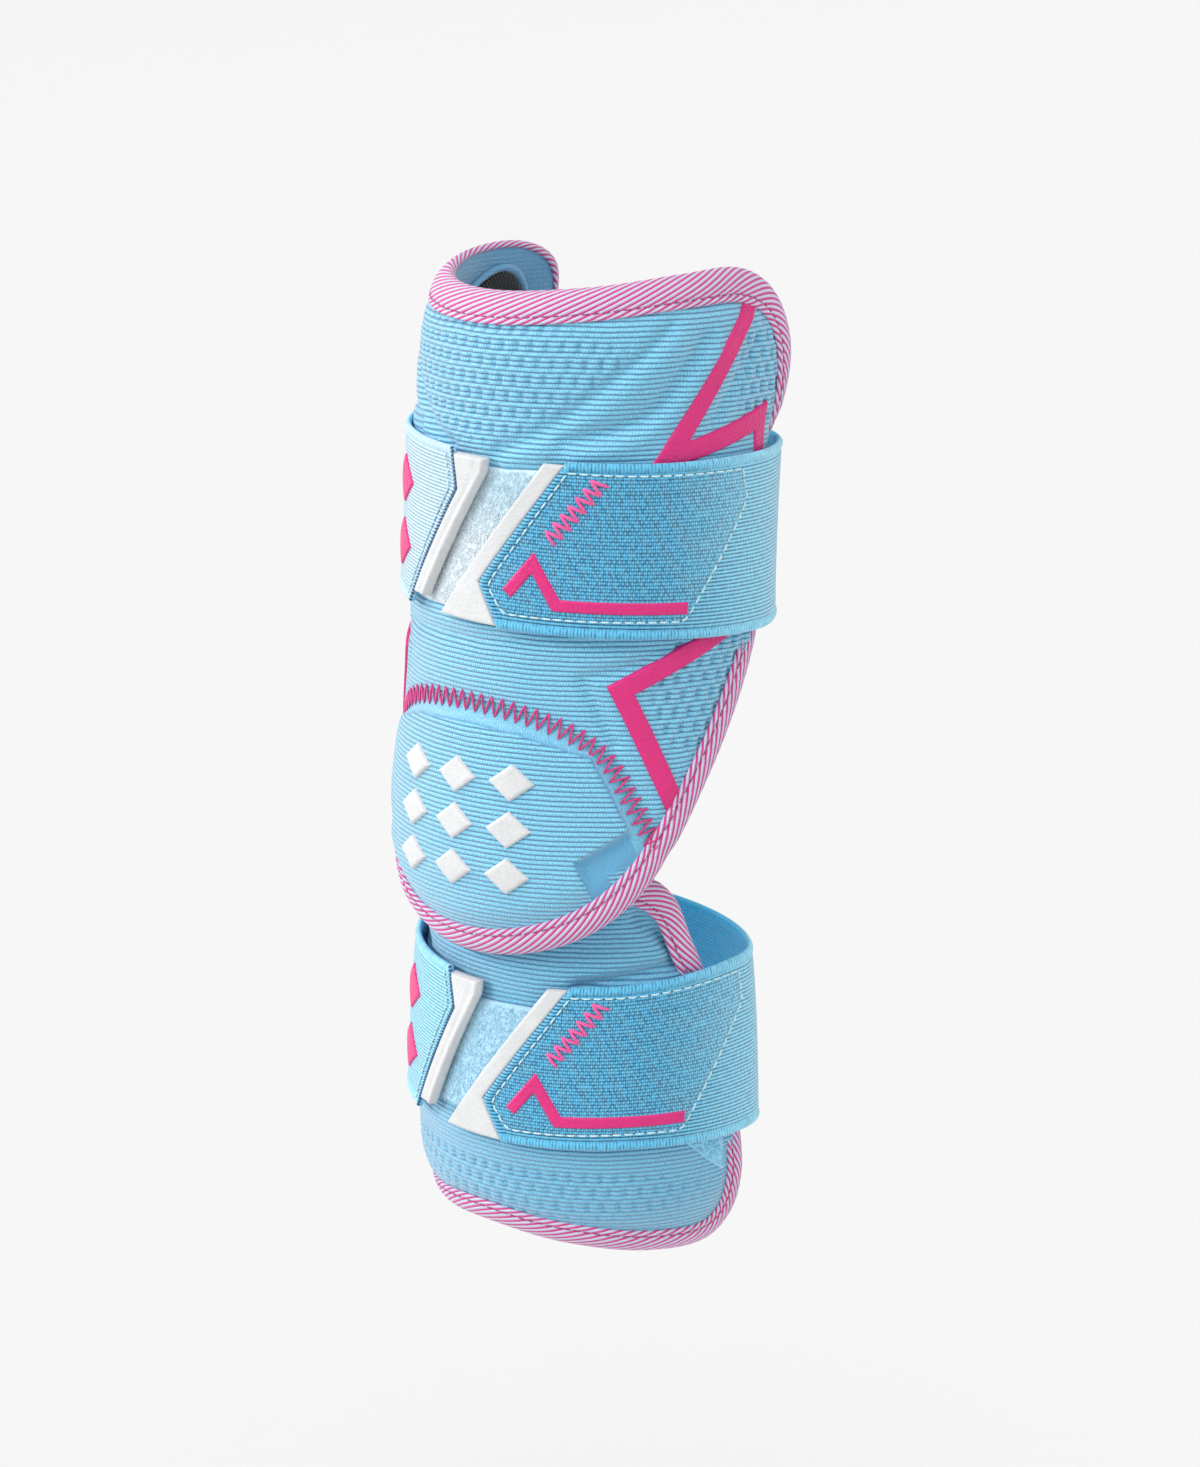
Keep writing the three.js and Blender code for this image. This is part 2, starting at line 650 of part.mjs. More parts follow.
// Straps: the front follows the pad and its wings, the back is one smooth bend behind the arm
for (const strap of STRAPS) {
  const leftEnd = (h) => onChain(LEFT_END, 'h', 's', h) + (strap.leftShift * h) / STRAP_WIDTH;
  const rightEnd = (h) => onChain(RIGHT_END, 'h', 's', h);
  const leave = (h) => THREE.MathUtils.lerp(strap.leave.foot, strap.leave.head, h / STRAP_WIDTH);
  const wing = (h) => THREE.MathUtils.lerp(strap.wing.foot, strap.wing.head, h / STRAP_WIDTH);
  const flat = (s, h, n) => {
    const level = place(strap.sections, s, strap.foot + h, 0, wing(h));
    const frontDepth = atHeight(strap.sections, strap.foot + h, (row) => row.radius);
    const spread = THREE.MathUtils.smoothstep(Math.abs(s), FLARE_RAMP.from, FLARE_RAMP.to);
    const flare = strap.flare * (h / STRAP_WIDTH - 0.5) * spread;
    const z = level.z + strap.tilt * level.x + strap.pitch * (level.y + frontDepth) + flare;
    const onPatch = THREE.MathUtils.smoothstep(s, STANDOFF_RAMP.from, STANDOFF_RAMP.to);
    const standoff = THREE.MathUtils.lerp(STANDOFF_ON_PAD, STANDOFF_ON_PATCH, onPatch);
    return place(strap.sections, s, z, standoff + n, wing(h));
  };
  const lifted = (s, h, n) => {
    const away = Math.max(0, leftEnd(h) - s);
    const lift = LEFT_LIFT * Math.max(0, 1 - away / LIFT_REACH) ** 2;
    return flat(s, h, n + lift);
  };
  // The depth behind the arm is reached halfway, where each end's direction counts an eighth
  const behind = (t, h, n) => {
    const right = flat(leave(h), h, n);
    const left = flat(-leave(h), h, n);
    const goOut = right.clone().sub(flat(leave(h) - STRAP_STEP, h, n)).normalize();
    const comeIn = flat(STRAP_STEP - leave(h), h, n).sub(left).normalize();
    const reach = (8 * (strap.back + n - (right.y + left.y) / 2)) / (goOut.y - comeIn.y);
    const point = right.lerp(left, t * t * (3 - 2 * t));
    point.addScaledVector(goOut, reach * t * (1 - t) * (1 - t));
    point.addScaledVector(comeIn, -reach * t * t * (1 - t));
    return point;
  };

  const heights = [0, RIGHT_END[1].h, STRAP_WIDTH / 2, LEFT_END[1].h, STRAP_WIDTH];
  const sheet = (n) => (i, j) => {
    const h = heights[i];
    const back = j - FRONT_COLUMNS;
    const last = back - BACK_COLUMNS;
    if (back <= 0) return flat(THREE.MathUtils.lerp(rightEnd(h), leave(h), j / FRONT_COLUMNS), h, n);
    if (last < 0) return behind(back / BACK_COLUMNS, h, n);
    return lifted(THREE.MathUtils.lerp(-leave(h), leftEnd(h), last / FRONT_COLUMNS), h, n);
  };
  addPiece(
    `${strap.name}_strap`,
    slab(heights.length - 1, 2 * FRONT_COLUMNS + BACK_COLUMNS, sheet(STRAP_THICKNESS), sheet(0)),
    STRAP_ELASTIC,
  );

  const tab = (tip, end, corner, toPoint) => {
    const rows = stations([tip[0].h, corner, tip[tip.length - 1].h], FACET);
    const edgeA = rows.map((h) => new THREE.Vector2(onChain(tip, 'h', 's', h), h));
    const edgeB = rows.map((h) => new THREE.Vector2(end(h), h));
    return ribbon(edgeA, edgeB, ACROSS.tab, toPoint, 0, TAB_THICKNESS);
  };
  const rightTabEnd = (h) => rightEnd(h) - TAB_GAP;
  const leftTabEnd = (h) => leftEnd(h) + TAB_GAP;
  const shifted = (row) => ({ h: row.h, s: row.s + (strap.leftShift * row.h) / STRAP_WIDTH });
  const leftTip = LEFT_TAB_TIP.map(shifted);
  addPiece(`${strap.name}_tab_right`, tab(RIGHT_TAB_TIP, rightTabEnd, RIGHT_END[1].h, flat), WHITE_RUBBER);
  addPiece(`${strap.name}_tab_left`, tab(leftTip, leftTabEnd, LEFT_END[1].h, lifted), WHITE_RUBBER);

  const onStrap = STRAP_THICKNESS + GAP;
  const [edgeA, edgeB] = bandEdges(CHECK.map((row) => new THREE.Vector2(row.s, row.h)), CHECK_WIDTH);
  addPiece(
    `${strap.name}_strap_check`,
    ribbon(edgeA, edgeB, ACROSS.check, flat, onStrap, onStrap + TRIM_THICKNESS),
    PINK_RUBBER,
  );
  STRAP_DIAMOND.heights.forEach((h, k) => {
    const centre = new THREE.Vector2(STRAP_DIAMOND.s, h);
    addPiece(
      `${strap.name}_strap_diamond_${k + 1}`,
      diamond(centre, STRAP_DIAMOND, lifted, onStrap, onStrap + TRIM_THICKNESS),
      PINK_RUBBER,
    );
  });
}

export default guard;
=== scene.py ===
"""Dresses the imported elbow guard: foam pads in ribbed knit, striped edge tape, woven elastic straps,
moulded rubber trim and every row of stitches, set on a pale floor in soft studio light.

A place on a pad is given by s, the distance round the arm from the front line, positive to the
right, by its height z, and by n, the distance out from the pad's outer face. A place on a strap is
given by s, by h, the height above the strap's lower edge, and by n. All lengths are in metres."""

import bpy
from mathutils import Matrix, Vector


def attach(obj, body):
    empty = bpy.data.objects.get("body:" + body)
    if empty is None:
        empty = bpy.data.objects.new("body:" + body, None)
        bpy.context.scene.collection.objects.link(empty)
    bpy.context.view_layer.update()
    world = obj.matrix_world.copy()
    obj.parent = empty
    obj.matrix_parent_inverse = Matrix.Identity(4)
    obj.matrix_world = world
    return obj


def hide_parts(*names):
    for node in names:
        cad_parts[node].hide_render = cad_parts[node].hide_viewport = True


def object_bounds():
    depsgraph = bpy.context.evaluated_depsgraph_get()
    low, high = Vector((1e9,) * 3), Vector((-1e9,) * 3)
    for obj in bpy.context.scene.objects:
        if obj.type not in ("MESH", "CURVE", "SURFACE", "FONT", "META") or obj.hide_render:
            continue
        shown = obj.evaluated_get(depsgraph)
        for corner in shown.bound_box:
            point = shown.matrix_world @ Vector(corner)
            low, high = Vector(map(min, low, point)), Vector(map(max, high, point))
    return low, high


bl_info = {
    "name": "Elbow Guard",
    "version": (1, 0, 0),
    "blender": (4, 5, 0),
    "location": "View3D > Sidebar > Elbow Guard",
    "description": "Padded elbow guard with striped edge tape and two elastic straps",
    "category": "Add Mesh",
}

import math

import bpy
import numpy as np
from bpy.props import FloatProperty, FloatVectorProperty, PointerProperty
from mathutils import Vector

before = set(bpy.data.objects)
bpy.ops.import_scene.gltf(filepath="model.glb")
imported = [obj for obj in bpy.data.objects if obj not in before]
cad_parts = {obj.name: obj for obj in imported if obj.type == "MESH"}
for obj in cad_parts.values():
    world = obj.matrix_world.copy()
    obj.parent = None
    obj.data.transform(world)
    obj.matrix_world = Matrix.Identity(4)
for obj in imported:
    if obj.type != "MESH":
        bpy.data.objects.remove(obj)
CAD_BOX = [list(corner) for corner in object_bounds()]
MM = 0.001


def chain(*pairs):
    """Points of a chain given in millimetres, turned to metres."""
    return MM * np.array(pairs, float)


def pair(a, b):
    """Two lengths given in millimetres, turned to metres."""
    return MM * np.array([a, b], float)


def table(columns, *rows):
    """Named columns of a short table given in millimetres, turned to metres."""
    return {name: MM * np.array(column, float) for name, column in zip(columns.split(), zip(*rows))}


def linear(red, green, blue):
    """Linear colour of a screen colour from 0 to 255."""
    part = np.array([red, green, blue]) / 255
    return tuple(np.where(part <= 0.04045, part / 12.92, ((part + 0.055) / 1.055) ** 2.4).tolist())


# Pad sections: radius of the front arc, radius of the wing beyond each side, wall thickness
UPPER_SECTIONS = table(
    "z radius right left wall",
    (-45, 51.8, 90, 90, 8),
    (-36, 53.8, 90, 90, 8),
    (-25, 56.2, 90, 90, 8),
    (-8, 57.0, 90, 90, 8),
    (10, 55.4, 80, 80, 8),
    (32, 53.0, 65, 65, 7.5),
    (44, 52.2, 42, 42, 7),
    (56, 51.0, 20, 20, 7),
    (78, 49.6, 25, 25, 7),
    (97, 48.8, 31, 30, 7),
    (108, 48.6, 66, 40, 7),
    (122, 48.2, 180, 46, 7),
    (133, 46.2, 240, 44, 7),
    (147, 41.0, 240, 42, 7),
)
LOWER_SECTIONS = table(
    "z radius right left wall",
    (-125, 43, 120, 120, 7),
    (-114, 47.4, 100, 100, 7),
    (-104, 50.6, 60, 60, 7),
    (-90, 50.9, 24, 24, 7),
    (-66, 50.0, 20, 20, 7),
    (-50, 48.8, 30, 30, 7),
    (-36, 47.2, 60, 60, 7),
    (-20, 46.0, 60, 60, 7),
    (0, 45.6, 60, 60, 7),
)

# Right half of each edge as (s, z), from the top of the front line to its foot, and its corners' numbers
UPPER_EDGE = chain(
    (0, 139.8), (28, 141.4), (54, 144), (76, 144.2), (92, 138.2), (101, 125.5),
    (103, 106), (99.5, 82), (92.5, 60), (86, 43.5), (78.5, 27.5), (70, 10.5),
    (61, -6), (50, -19), (36, -28.2), (18, -34.2), (0, -36.2),
)
UPPER_TOP_CORNER = 4
SEAM_END = 12
CAP_FOOT_CORNER = 14
LOWER_EDGE = chain(
    (0, -9), (24, -10), (44, -13.5), (55, -20.5), (61.5, -32.5), (68.5, -46), (77.5, -70),
    (84, -94), (83, -107), (76.5, -117.5), (65, -123.2), (46, -122.4), (24, -119.2), (0, -116.6),
)
LOWER_TOP_CORNER = 3
LOWER_FOOT_CORNER = 9
LINER_EDGE = chain(
    (0, 122), (38, 126), (71, 138.6), (90.5, 123), (86, 92),
    (74, 62), (64, 38), (50, 18), (26, 11), (0, 9),
)
LINER_TOP_CORNER = 2
LINER_FOOT_CORNER = 7

# Points of the upper pad's left ear as (s, z), in place of the mirror image
LEFT_EAR = chain((-101.8, 126), (-93, 139), (-76, 145.7), (-54, 145.4))

# Right half of the seam over the cap as (s, z), and the cloth's gap from it on each side
SEAM = chain((0, 33.2), (18, 31.6), (32, 27.2), (42, 20), (49, 9.5), (55, 0))
SEAM_GAP = [0, 0.12 * MM]

# Moulded lines and a pressed corner on the right half as (s, z), with the mirror image on the left
SIDE_CREASE = chain((64, 128.4), (57.8, 120.3), (51.1, 112.5), (45.8, 108.8), (37.6, 105.7), (26.7, 103))
CREASE_TO_RIDGE = pair(3, -3.6)
WAFFLE_BORDER = chain((53, 132), (45.4, 124.1), (36.1, 116.6), (26.7, 109.4), (17.3, 103.8), (8, 100))
EAR_STEP = chain((84, 126), (76.5, 118.1), (67, 107.4))
CHEVRON = chain((50, 46.2), (33.8, 41.7), (37.4, 35.3), (43.4, 24.6))
TONGUE_FOLD = chain((44, -25), (56, -35))
STRAP_FOLD = chain((29.9, -43.5), (56, -38.6))
CAP_PRESSED = chain((48.4, 2.4), (35.2, -6.1), (40.7, -18.1), (46, -19), (43.6, -9.6), (52.2, -6.4))

# Sag below the upper strap and outline of the cap's plateau as (s, z), on both halves
STRAP_SAG = chain((-40, 49), (1.5, 50.2), (24.6, 52), (39.1, 51), (60, 49))
CAP_PLATEAU = chain(
    (-46, 4), (-42.3, 13.2), (-37.1, 21.4), (-17.9, 26.6), (0, 28), (17.9, 26.6), (37.1, 21.4),
    (42.3, 13.2), (48.4, 2.4), (35.2, -6.1), (40.7, -20), (37, -40), (-37, -40), (-40.7, -20), (-35.2, -6.1),
)

# Creases as line, height in millimetres and width in millimetres: a groove's height is negative
BODY_CREASES = [
    (SIDE_CREASE + CREASE_TO_RIDGE, 0.9, 2.6),
    (SIDE_CREASE, -1.9, 2.4),
    (WAFFLE_BORDER + CREASE_TO_RIDGE, 0.6, 2.4),
    (WAFFLE_BORDER, -1.3, 1.8),
    (EAR_STEP, -1.0, 1.8),
    (CHEVRON, -1.3, 1.8),
]
SAG_CREASES = [(STRAP_SAG, -1.0, 2.2)]
LOWER_CREASES = [(TONGUE_FOLD, -2.2, 2.2), (STRAP_FOLD, -2.2, 2.2)]

# Ovals of moulded dents as middle and half size, with the share of the full depth in each
FRONT_DENTS = pair(0, 116), pair(58, 21)
EAR_DENTS = pair(85, 116), pair(12, 17)
SIDE_DENTS = pair(67, 38), pair(17, 20)
LOWER_DENTS = pair(18, -102), pair(56, 9)
EAR_DENT_SHARE = 1.2
SIDE_DENT_SHARE = 1.1
LOWER_DENT_SHARE = 0.75

# A dent's sides and ends as shares of its cell, and an oval's edge as a share of its half size
DENT_SIDES = 0.06, 0.28
DENT_ENDS = 0.24, 0.46
OVAL_EDGE = 0.75, 1.0

# Where dents fade in, and how the cap's plateau, smooth border and pressed corner slope
WAFFLE_FADE = pair(0.5, 2.5)
EAR_FADE = pair(74, 77)
PLATEAU_SLOPE = pair(-1.4, 0.6)
PLATEAU_CLEAR = pair(8, 15)
BORDER_SLOPE = pair(-0.6, 0.4)
BORDER_REACH = pair(9, 12)
PRESSED_SLOPE = pair(-0.4, 0.4)

FLASH = chain((81.4, 137.4), (53, 98.4), (85.5, 106.4), (79, 56.4), (43.8, 38.9), (61.6, 6.8))
CHECK = chain((13.7, 9.6), (20.2, 18.4), (26.4, 8), (59, 8))

# Diamonds: middles, pitch and half sizes, as (s, z) on the cap and as (s, h) on a strap
CAP_DIAMONDS_PER_SIDE = 3
CAP_DIAMOND_MIDDLE, CAP_DIAMOND_PITCH, CAP_DIAMOND_HALF = pair(0, 1.5), pair(17, 12.5), pair(6.5, 5)
STRAP_DIAMOND_MIDDLES, STRAP_DIAMOND_HALF = chain((-31, 14), (-31, 31)), pair(8, 6.5)

# Loop patches: foot and head of each as (s, z)
PATCHES = {
    "upper": (
        chain((-28, 63), (-22, 57), (62, 57), (68, 63)),
        chain((-28, 89), (-22, 95), (34, 96), (42, 89), (68, 86)),
    ),
    "lower": (
        chain((-28, -77), (-22, -82), (26, -84), (52, -84), (60, -88), (67, -94), (74, -99)),
        chain((-28, -56), (-22, -50), (56, -50), (63, -62), (74, -86)),
    ),
}

# A strap's two ends and its tabs' free edges as (h, s)
STRAP_WIDTH = 45 * MM
RIGHT_END = chain((0, 11), (11.2, 5.1), (45, 27.7))
LEFT_END = chain((0, -20.9), (34.4, -1.4), (45, -3.2))
RIGHT_TAB_TIP = chain((0.3, -7.9), (44, 21.8))
LEFT_TAB_TIP = chain((3.4, -13.4), (39.7, 6.6), (43.6, 7.1))
RIGHT_TAB_ROWS = MM * np.array([0.3, 11.2, 44])
LEFT_TAB_ROWS = MM * np.array([3.4, 34.4, 39.7, 43.6])

# Outline of the doubled panel on a strap's right end, and the bar tack on it, as (s, h)
PANEL = chain((28, 42.2), (74, 41.6), (75.8, 34), (58.4, 4.6), (12.7, 4.2), (8.2, 11))
BAR_TACK = chain((24, 24.4), (36.3, 40.5))

# Steps over a hem, the margin that they take up, and a usual run of a strap's front, in millimetres
HEM_ROWS = np.array([0, 0.12, 0.35, 0.8, 1.2, 1.6, 2.0, 2.3, 2.6, 3.0])
HEM_MARGIN = 4
FRONT_RUN = 82

# Where the straps change along s: flare of their edges, step up on to the patch, and painted light that
# makes the cloth lighter past the panel and paler at the left end, with its share
FLARE_REACH = pair(38, 80)
PATCH_STEP = pair(-48, -32)
PAINTED_LIGHT_REACH = pair(46, 84)
LIT_END_REACH = pair(-75, -45)
PAINTED_LIGHT_SHARE = 0.8

# Sewn rows in millimetres: a dash's length and gap or a zigzag's width and pitch, thread radius, arch
PANEL_DASHES = 2.25, 0.65, 0.26, 0.12
END_DASHES = 1.9, 0.5, 0.22, 0.1
TAPE_DASHES = 2.1, 0.5, 0.2, 0.08
SEAM_ZIGZAG = 5.4, 3.3, 0.3, 0.25
TACK_ZIGZAG = 4.8, 3.1, 0.48, 0.2

# Lines of stitches: margin and inset at a strap's left end, lift on the seam and on the tape
END_LINE_MARGIN, END_LINE_INSET = 1.5 * MM, 3.2 * MM
SEAM_LIFT, TAPE_LIFT = 0.25 * MM, 0.42 * MM

# Stations of the sewn seam, and how many of them are left bare at each end
SEWN_STATIONS, BARE_STATIONS = 300, 6

# A thread's tip as a share of its taper, and its seat and sunk ends as shares of its radius
THREAD_TIP = 0.93
THREAD_SEAT, THREAD_SINK = 0.3, 0.8

# Serged edge: strokes, margin, reach to each side of the edge, slant, thread radius and arch
SERGE_STROKES = 46
SERGE_MARGIN = 0.4 * MM
SERGE_INSIDE, SERGE_OUTSIDE, SERGE_SLANT = 0.9 * MM, 0.25 * MM, 0.35 * MM
SERGE_RADIUS, SERGE_ARCH = 0.34 * MM, 0.12 * MM

# Finishes: roughness and depth of the pebbles of the rubber, and pitches of the finest threads
WHITE_ROUGHNESS, WHITE_PEBBLE = 0.5, 0.13 * MM
PINK_ROUGHNESS, PINK_PEBBLE = 0.4, 0.26 * MM
TWILL_PITCH = 0.7 * MM
HEM_TICK_PITCH = 0.85 * MM
LINER_HOLE_PITCH = 1.6 * MM
RIB_SHIFT = 0.618

# Foam pads: inset of the cloth, squeeze towards the rim, valley beside the tape, dip along the seam
PAD_INSET = 1.5 * MM
RIM_WIDTH = 12 * MM
OUTER_SQUEEZE = 2.0 * MM
INNER_SQUEEZE = 3.2 * MM
TAPE_VALLEY = 0.55 * MM
VALLEY_INSET = 8.6 * MM
VALLEY_WIDTH = 1.5 * MM
SEAM_DIP = 0.9 * MM
SEAM_WIDTH = 3.2 * MM

# Swell of the foam beside each strap, and height and depth of the cap's plateau and pressed corner
UPPER_SWELL = 0.8 * MM
LOWER_SWELL = 0.7 * MM
SWELL_WIDTH = 5 * MM
SWELL_BELOW = 2 * MM
SWELL_ABOVE = 1.5 * MM
PLATEAU_HEIGHT = 1.4 * MM
PRESSED_DEPTH = 0.5 * MM

# Tape: sewn groove, station, nose past the edge, return into the foam, and puckers of so many stations
TAPE_GROOVE = 2.0 * MM
TAPE_STATION = 0.95 * MM
TAPE_NOSE = 0.15 * MM
TAPE_RETURN = 2.2 * MM
PUCKER, PUCKER_STATIONS = 0.12 * MM, 3.1
PUCKER_INSET, PUCKER_WIDTH = 2.2 * MM, 1.6 * MM

# Liner: gap, thickness and thinned rim, and its lip's half sizes, each with the share that it stands off
LINER_GAP = 0.4 * MM
LINER_THICKNESS = 2.6 * MM
LINER_RIM = 0.3 * MM
LINER_TAPER = 4 * MM
LIP_WIDTH, LIP_OUT = 1.1 * MM, 0.5
LIP_HEIGHT, LIP_UP = 1.0 * MM, 0.8

# Loop patches: base, height and bevel
PATCH_BASE = -0.3 * MM
PATCH_HEIGHT = 1.2 * MM
PATCH_BEVEL = 1.5 * MM

# Straps: thickness, standoff from a pad's outer face, lift of the left end, doubled panel, hems
STRAP_THICKNESS = 1.5 * MM
STANDOFF_ON_PATCH = 2.1 * MM
STANDOFF_ON_PAD = 1.75 * MM
LEFT_LIFT = 0.8 * MM
LIFT_REACH = 28 * MM
PANEL_HEIGHT = 0.15 * MM
PANEL_SLOPE, PANEL_COLOUR_SLOPE = pair(-0.4, 0.4), pair(-0.3, 0.3)
PANEL_GROOVE, PANEL_GROOVE_WIDTH = 0.22 * MM, 0.6 * MM
HEM = 2.4 * MM
HEM_GROOVE, HEM_GROOVE_WIDTH = 0.4 * MM, 0.4 * MM
HEM_ROLL, HEM_ROLL_INSET, HEM_ROLL_WIDTH = 0.3 * MM, 1.2 * MM, 0.7 * MM
STRAP_ROUND = 0.8 * MM

# Rubber trim: widths of its bands, and base and top of each plate, out from a pad or a strap's underside
FLASH_WIDTH = 5.5 * MM
CHECK_WIDTH = 3.2 * MM
FLASH_LAYER = pair(-0.5, 0.75)
CAP_DIAMOND_LAYER = pair(-0.3, 1.0)
RIGHT_TAB_LAYER = pair(-0.2, 1.45)
LEFT_TAB_LAYER = pair(-0.6, 1.9)
STRAP_TRIM_LAYER = STRAP_THICKNESS + pair(-0.2, 0.62)

# Wider bevels as multiples of the trim's bevel, finer steps over small plates, and steps over a bevel
CAP_DIAMOND_BEVEL, LEFT_TAB_BEVEL = 1.2, 1.1
CAP_DIAMOND_STEP, FINE_STEP = 0.8 * MM, 0.9 * MM
BEVEL_STEPS, BEVEL_CLEAR = np.array([0, 0.12, 0.3, 0.6, 1.0]), 1.2

# A flash follows a share of the pad's relief and is tucked under the tape
FLASH_RELIEF_SHARE = 0.6
FLASH_TUCK, FLASH_TUCK_REACH = 0.7 * MM, pair(7.6, 8.6)

# Tabs lap over the strap's ends, and the left one has a lip and a groove along its free edge
RIGHT_TAB_LAP, LEFT_TAB_LAP = 0.25 * MM, 0.2 * MM
TAB_LIP, TAB_LIP_INSET, TAB_LIP_WIDTH = 0.35 * MM, 0.9 * MM, 0.6 * MM
TAB_GROOVE, TAB_GROOVE_INSET, TAB_GROOVE_WIDTH = 0.35 * MM, 2.0 * MM, 0.35 * MM

# Steps over which directions are taken: along an edge in its points, along a strap, and at a stitch
EDGE_STEP = 0.02
STRAP_STEP = 0.5 * MM
STITCH_STEP = 0.1 * MM

# Stations: on one side of an edge, on the upper seam, and per point of a rim, a smooth curve and a tape
SIDE_STATIONS = 400
SEAM_STATIONS = 70
RIM_STATIONS = 5
CURVE_STATIONS = 40
TAPE_STATIONS = 60

# Pile of the loop patches: random seed of each, places tried, loops kept, and a loop's sizes
PILE_SEED = {"upper": 7, "lower": 11}
PILE_TRIES = 16000
PILE_LOOPS = 2600
PILE_INSET = 0.6 * MM
PILE_HALF = 0.36 * MM
PILE_RADIUS = 0.08 * MM
PILE_ARCH = 0.32 * MM
PILE_SPREAD = 0.7, 1.3
PILE_UNDER_TAB = 1 * MM
PILE_PAST_STRAP = 0.5 * MM

# Painted shade on the pile: its share and where it sets in, by height on the upper patch, to the right on
# the lower one
UPPER_PILE_SHADE, UPPER_PILE_SHADE_REACH = 0.35, pair(74, 92)
LOWER_PILE_SHADE, LOWER_PILE_MORE_SHADE, LOWER_PILE_SHADE_REACH = 0.7, 0.3, pair(45, 60)

# Stage in metres: the floor's drop below the guard, its rings and its far sweep, and the camera's aim
FLOOR_DROP = 0.22
FLOOR_RINGS = [0.02, 0.1, 0.3, 0.8, 2, 6, 12]
FLOOR_SIDES, SWEEP_RINGS = 96, 41
SWEEP_REACH = 20, 60
SWEEP_HEIGHT = 16
CAMERA_AIM = 0, 0, 0.014
FRAME_HEIGHT = 36

# Lights: the direction towards each, and its spread in degrees
LIGHTS = {
    "key": ((-0.35, -0.8, 0.5), 25),
    "side": ((-0.9, -0.3, 0.35), 12),
    "top": ((0.2, -0.3, 0.93), 40),
    "fill": ((0.9, 0.1, 0.4), 60),
}


def unit(vectors):
    """Vectors of length one, along the last axis."""
    return vectors / np.linalg.norm(vectors, axis=-1, keepdims=True)


def ramp(value, low, high):
    """Smooth step from 0 at low to 1 at high: 3t² - 2t³."""
    t = np.clip((value - low) / (high - low), 0, 1)
    return t * t * (3 - 2 * t)


def at_height(sections, values, z):
    """Value of a section column at height z: a cubic through the rows with central slopes."""
    heights = sections["z"]
    last = len(heights) - 1
    below = np.maximum(np.arange(last + 1) - 1, 0)
    above = np.minimum(np.arange(last + 1) + 1, last)
    slopes = (values[above] - values[below]) / (heights[above] - heights[below])
    z = np.clip(z, heights[0], heights[-1])
    upper = np.clip(np.searchsorted(heights, z), 1, last)
    lower = upper - 1
    span = heights[upper] - heights[lower]
    t = (z - heights[lower]) / span
    rise = t * t * (3 - 2 * t)
    ends = values[lower] * (1 - rise) + values[upper] * rise
    return ends + span * (slopes[lower] * t * (1 - t) ** 2 - slopes[upper] * t * t * (1 - t))


def place(sections, s, z, n, wing=None):
    """Points round the arm: an arc of the section's radius as far as the sides, then a wing arc of
    another radius, each moved out by n along the surface's own normal."""
    s, z, n = np.broadcast_arrays(np.asarray(s, float), np.asarray(z, float), np.asarray(n, float))
    radius = at_height(sections, sections["radius"], z)
    if wing is None:
        to_right = at_height(sections, 1 / sections["right"], z)
        to_left = at_height(sections, 1 / sections["left"], z)
        bend = np.where(s > 0, to_right, to_left)
    else:
        bend = 1 / wing
    quarter = radius * math.pi / 2
    angle = np.minimum(np.abs(s), quarter) / radius
    turn = np.maximum(np.abs(s) - quarter, 0) * bend
    out_x = np.where(turn > 0, np.cos(turn), np.sin(angle))
    out_y = np.where(turn > 0, np.sin(turn), -np.cos(angle))
    x = radius * np.sin(angle) - (1 - np.cos(turn)) / bend + n * out_x
    y = -radius * np.cos(angle) + np.sin(turn) / bend + n * out_y
    return np.stack([np.sign(s) * x, y, z], axis=-1)


def cubic(a, b, c, d, f):
    """Uniform cubic from b to c with slopes (c - a) / 2 and (d - b) / 2, at the share f."""
    return 0.5 * (2 * b + (c - a) * f + (2 * a - 5 * b + 4 * c - d) * f**2 + (3 * b - a - 3 * c + d) * f**3)


def close_loop(half):
    """Closed edge from its right half: the left half is its mirror image."""
    return np.concatenate([half, half[-2:0:-1] * [-1, 1]])


def loop_at(edge, t):
    """Smooth closed curve through the points: t counts points, and whole numbers hit them."""
    base = np.floor(t).astype(int)
    a, b, c, d = (edge[(base + k) % len(edge)] for k in (-1, 0, 1, 2))
    return cubic(a, b, c, d, (t - base)[..., None])


def inset(edge, t, depth):
    """Points a given depth inside a closed edge that runs clockwise."""
    tangent = unit(loop_at(edge, t + EDGE_STEP) - loop_at(edge, t - EDGE_STEP))
    inward = tangent[..., ::-1] * [1, -1]
    return loop_at(edge, t) + np.asarray(depth)[..., None] * inward


def along(points):
    """Distance from the start at each point of a chain."""
    return np.concatenate([[0], np.cumsum(np.linalg.norm(np.diff(points, axis=0), axis=1))])


def on_chain(points, distance):
    """Points of a chain at given distances from its start."""
    run = along(points)
    return np.stack([np.interp(distance, run, column) for column in points.T], axis=-1)


def evenly(points, count):
    """Points at even distances along a chain."""
    return on_chain(points, np.linspace(0, along(points)[-1], count))


def open_curve(points, count):
    """Even points on a smooth curve: a uniform cubic between each pair, with the ends repeated."""
    padded = np.concatenate([points[:1], points, points[-1:]])
    t = np.linspace(0, len(points) - 1, CURVE_STATIONS * len(points))
    base = np.minimum(t.astype(int), len(points) - 2)
    a, b, c, d = (padded[base + k] for k in range(4))
    return evenly(cubic(a, b, c, d, (t - base)[:, None]), count)


def distance_to(line, points):
    """Shortest distance from each point to a chain, taken run by run over the whole array."""
    flat = points.reshape(-1, 2)
    best = np.full(len(flat), np.inf)
    for start, stop in zip(line[:-1], line[1:]):
        run = stop - start
        share = np.clip((flat - start) @ run / (run @ run), 0, 1)
        best = np.minimum(best, np.linalg.norm(flat - start - share[:, None] * run, axis=1))
    return best.reshape(points.shape[:-1])


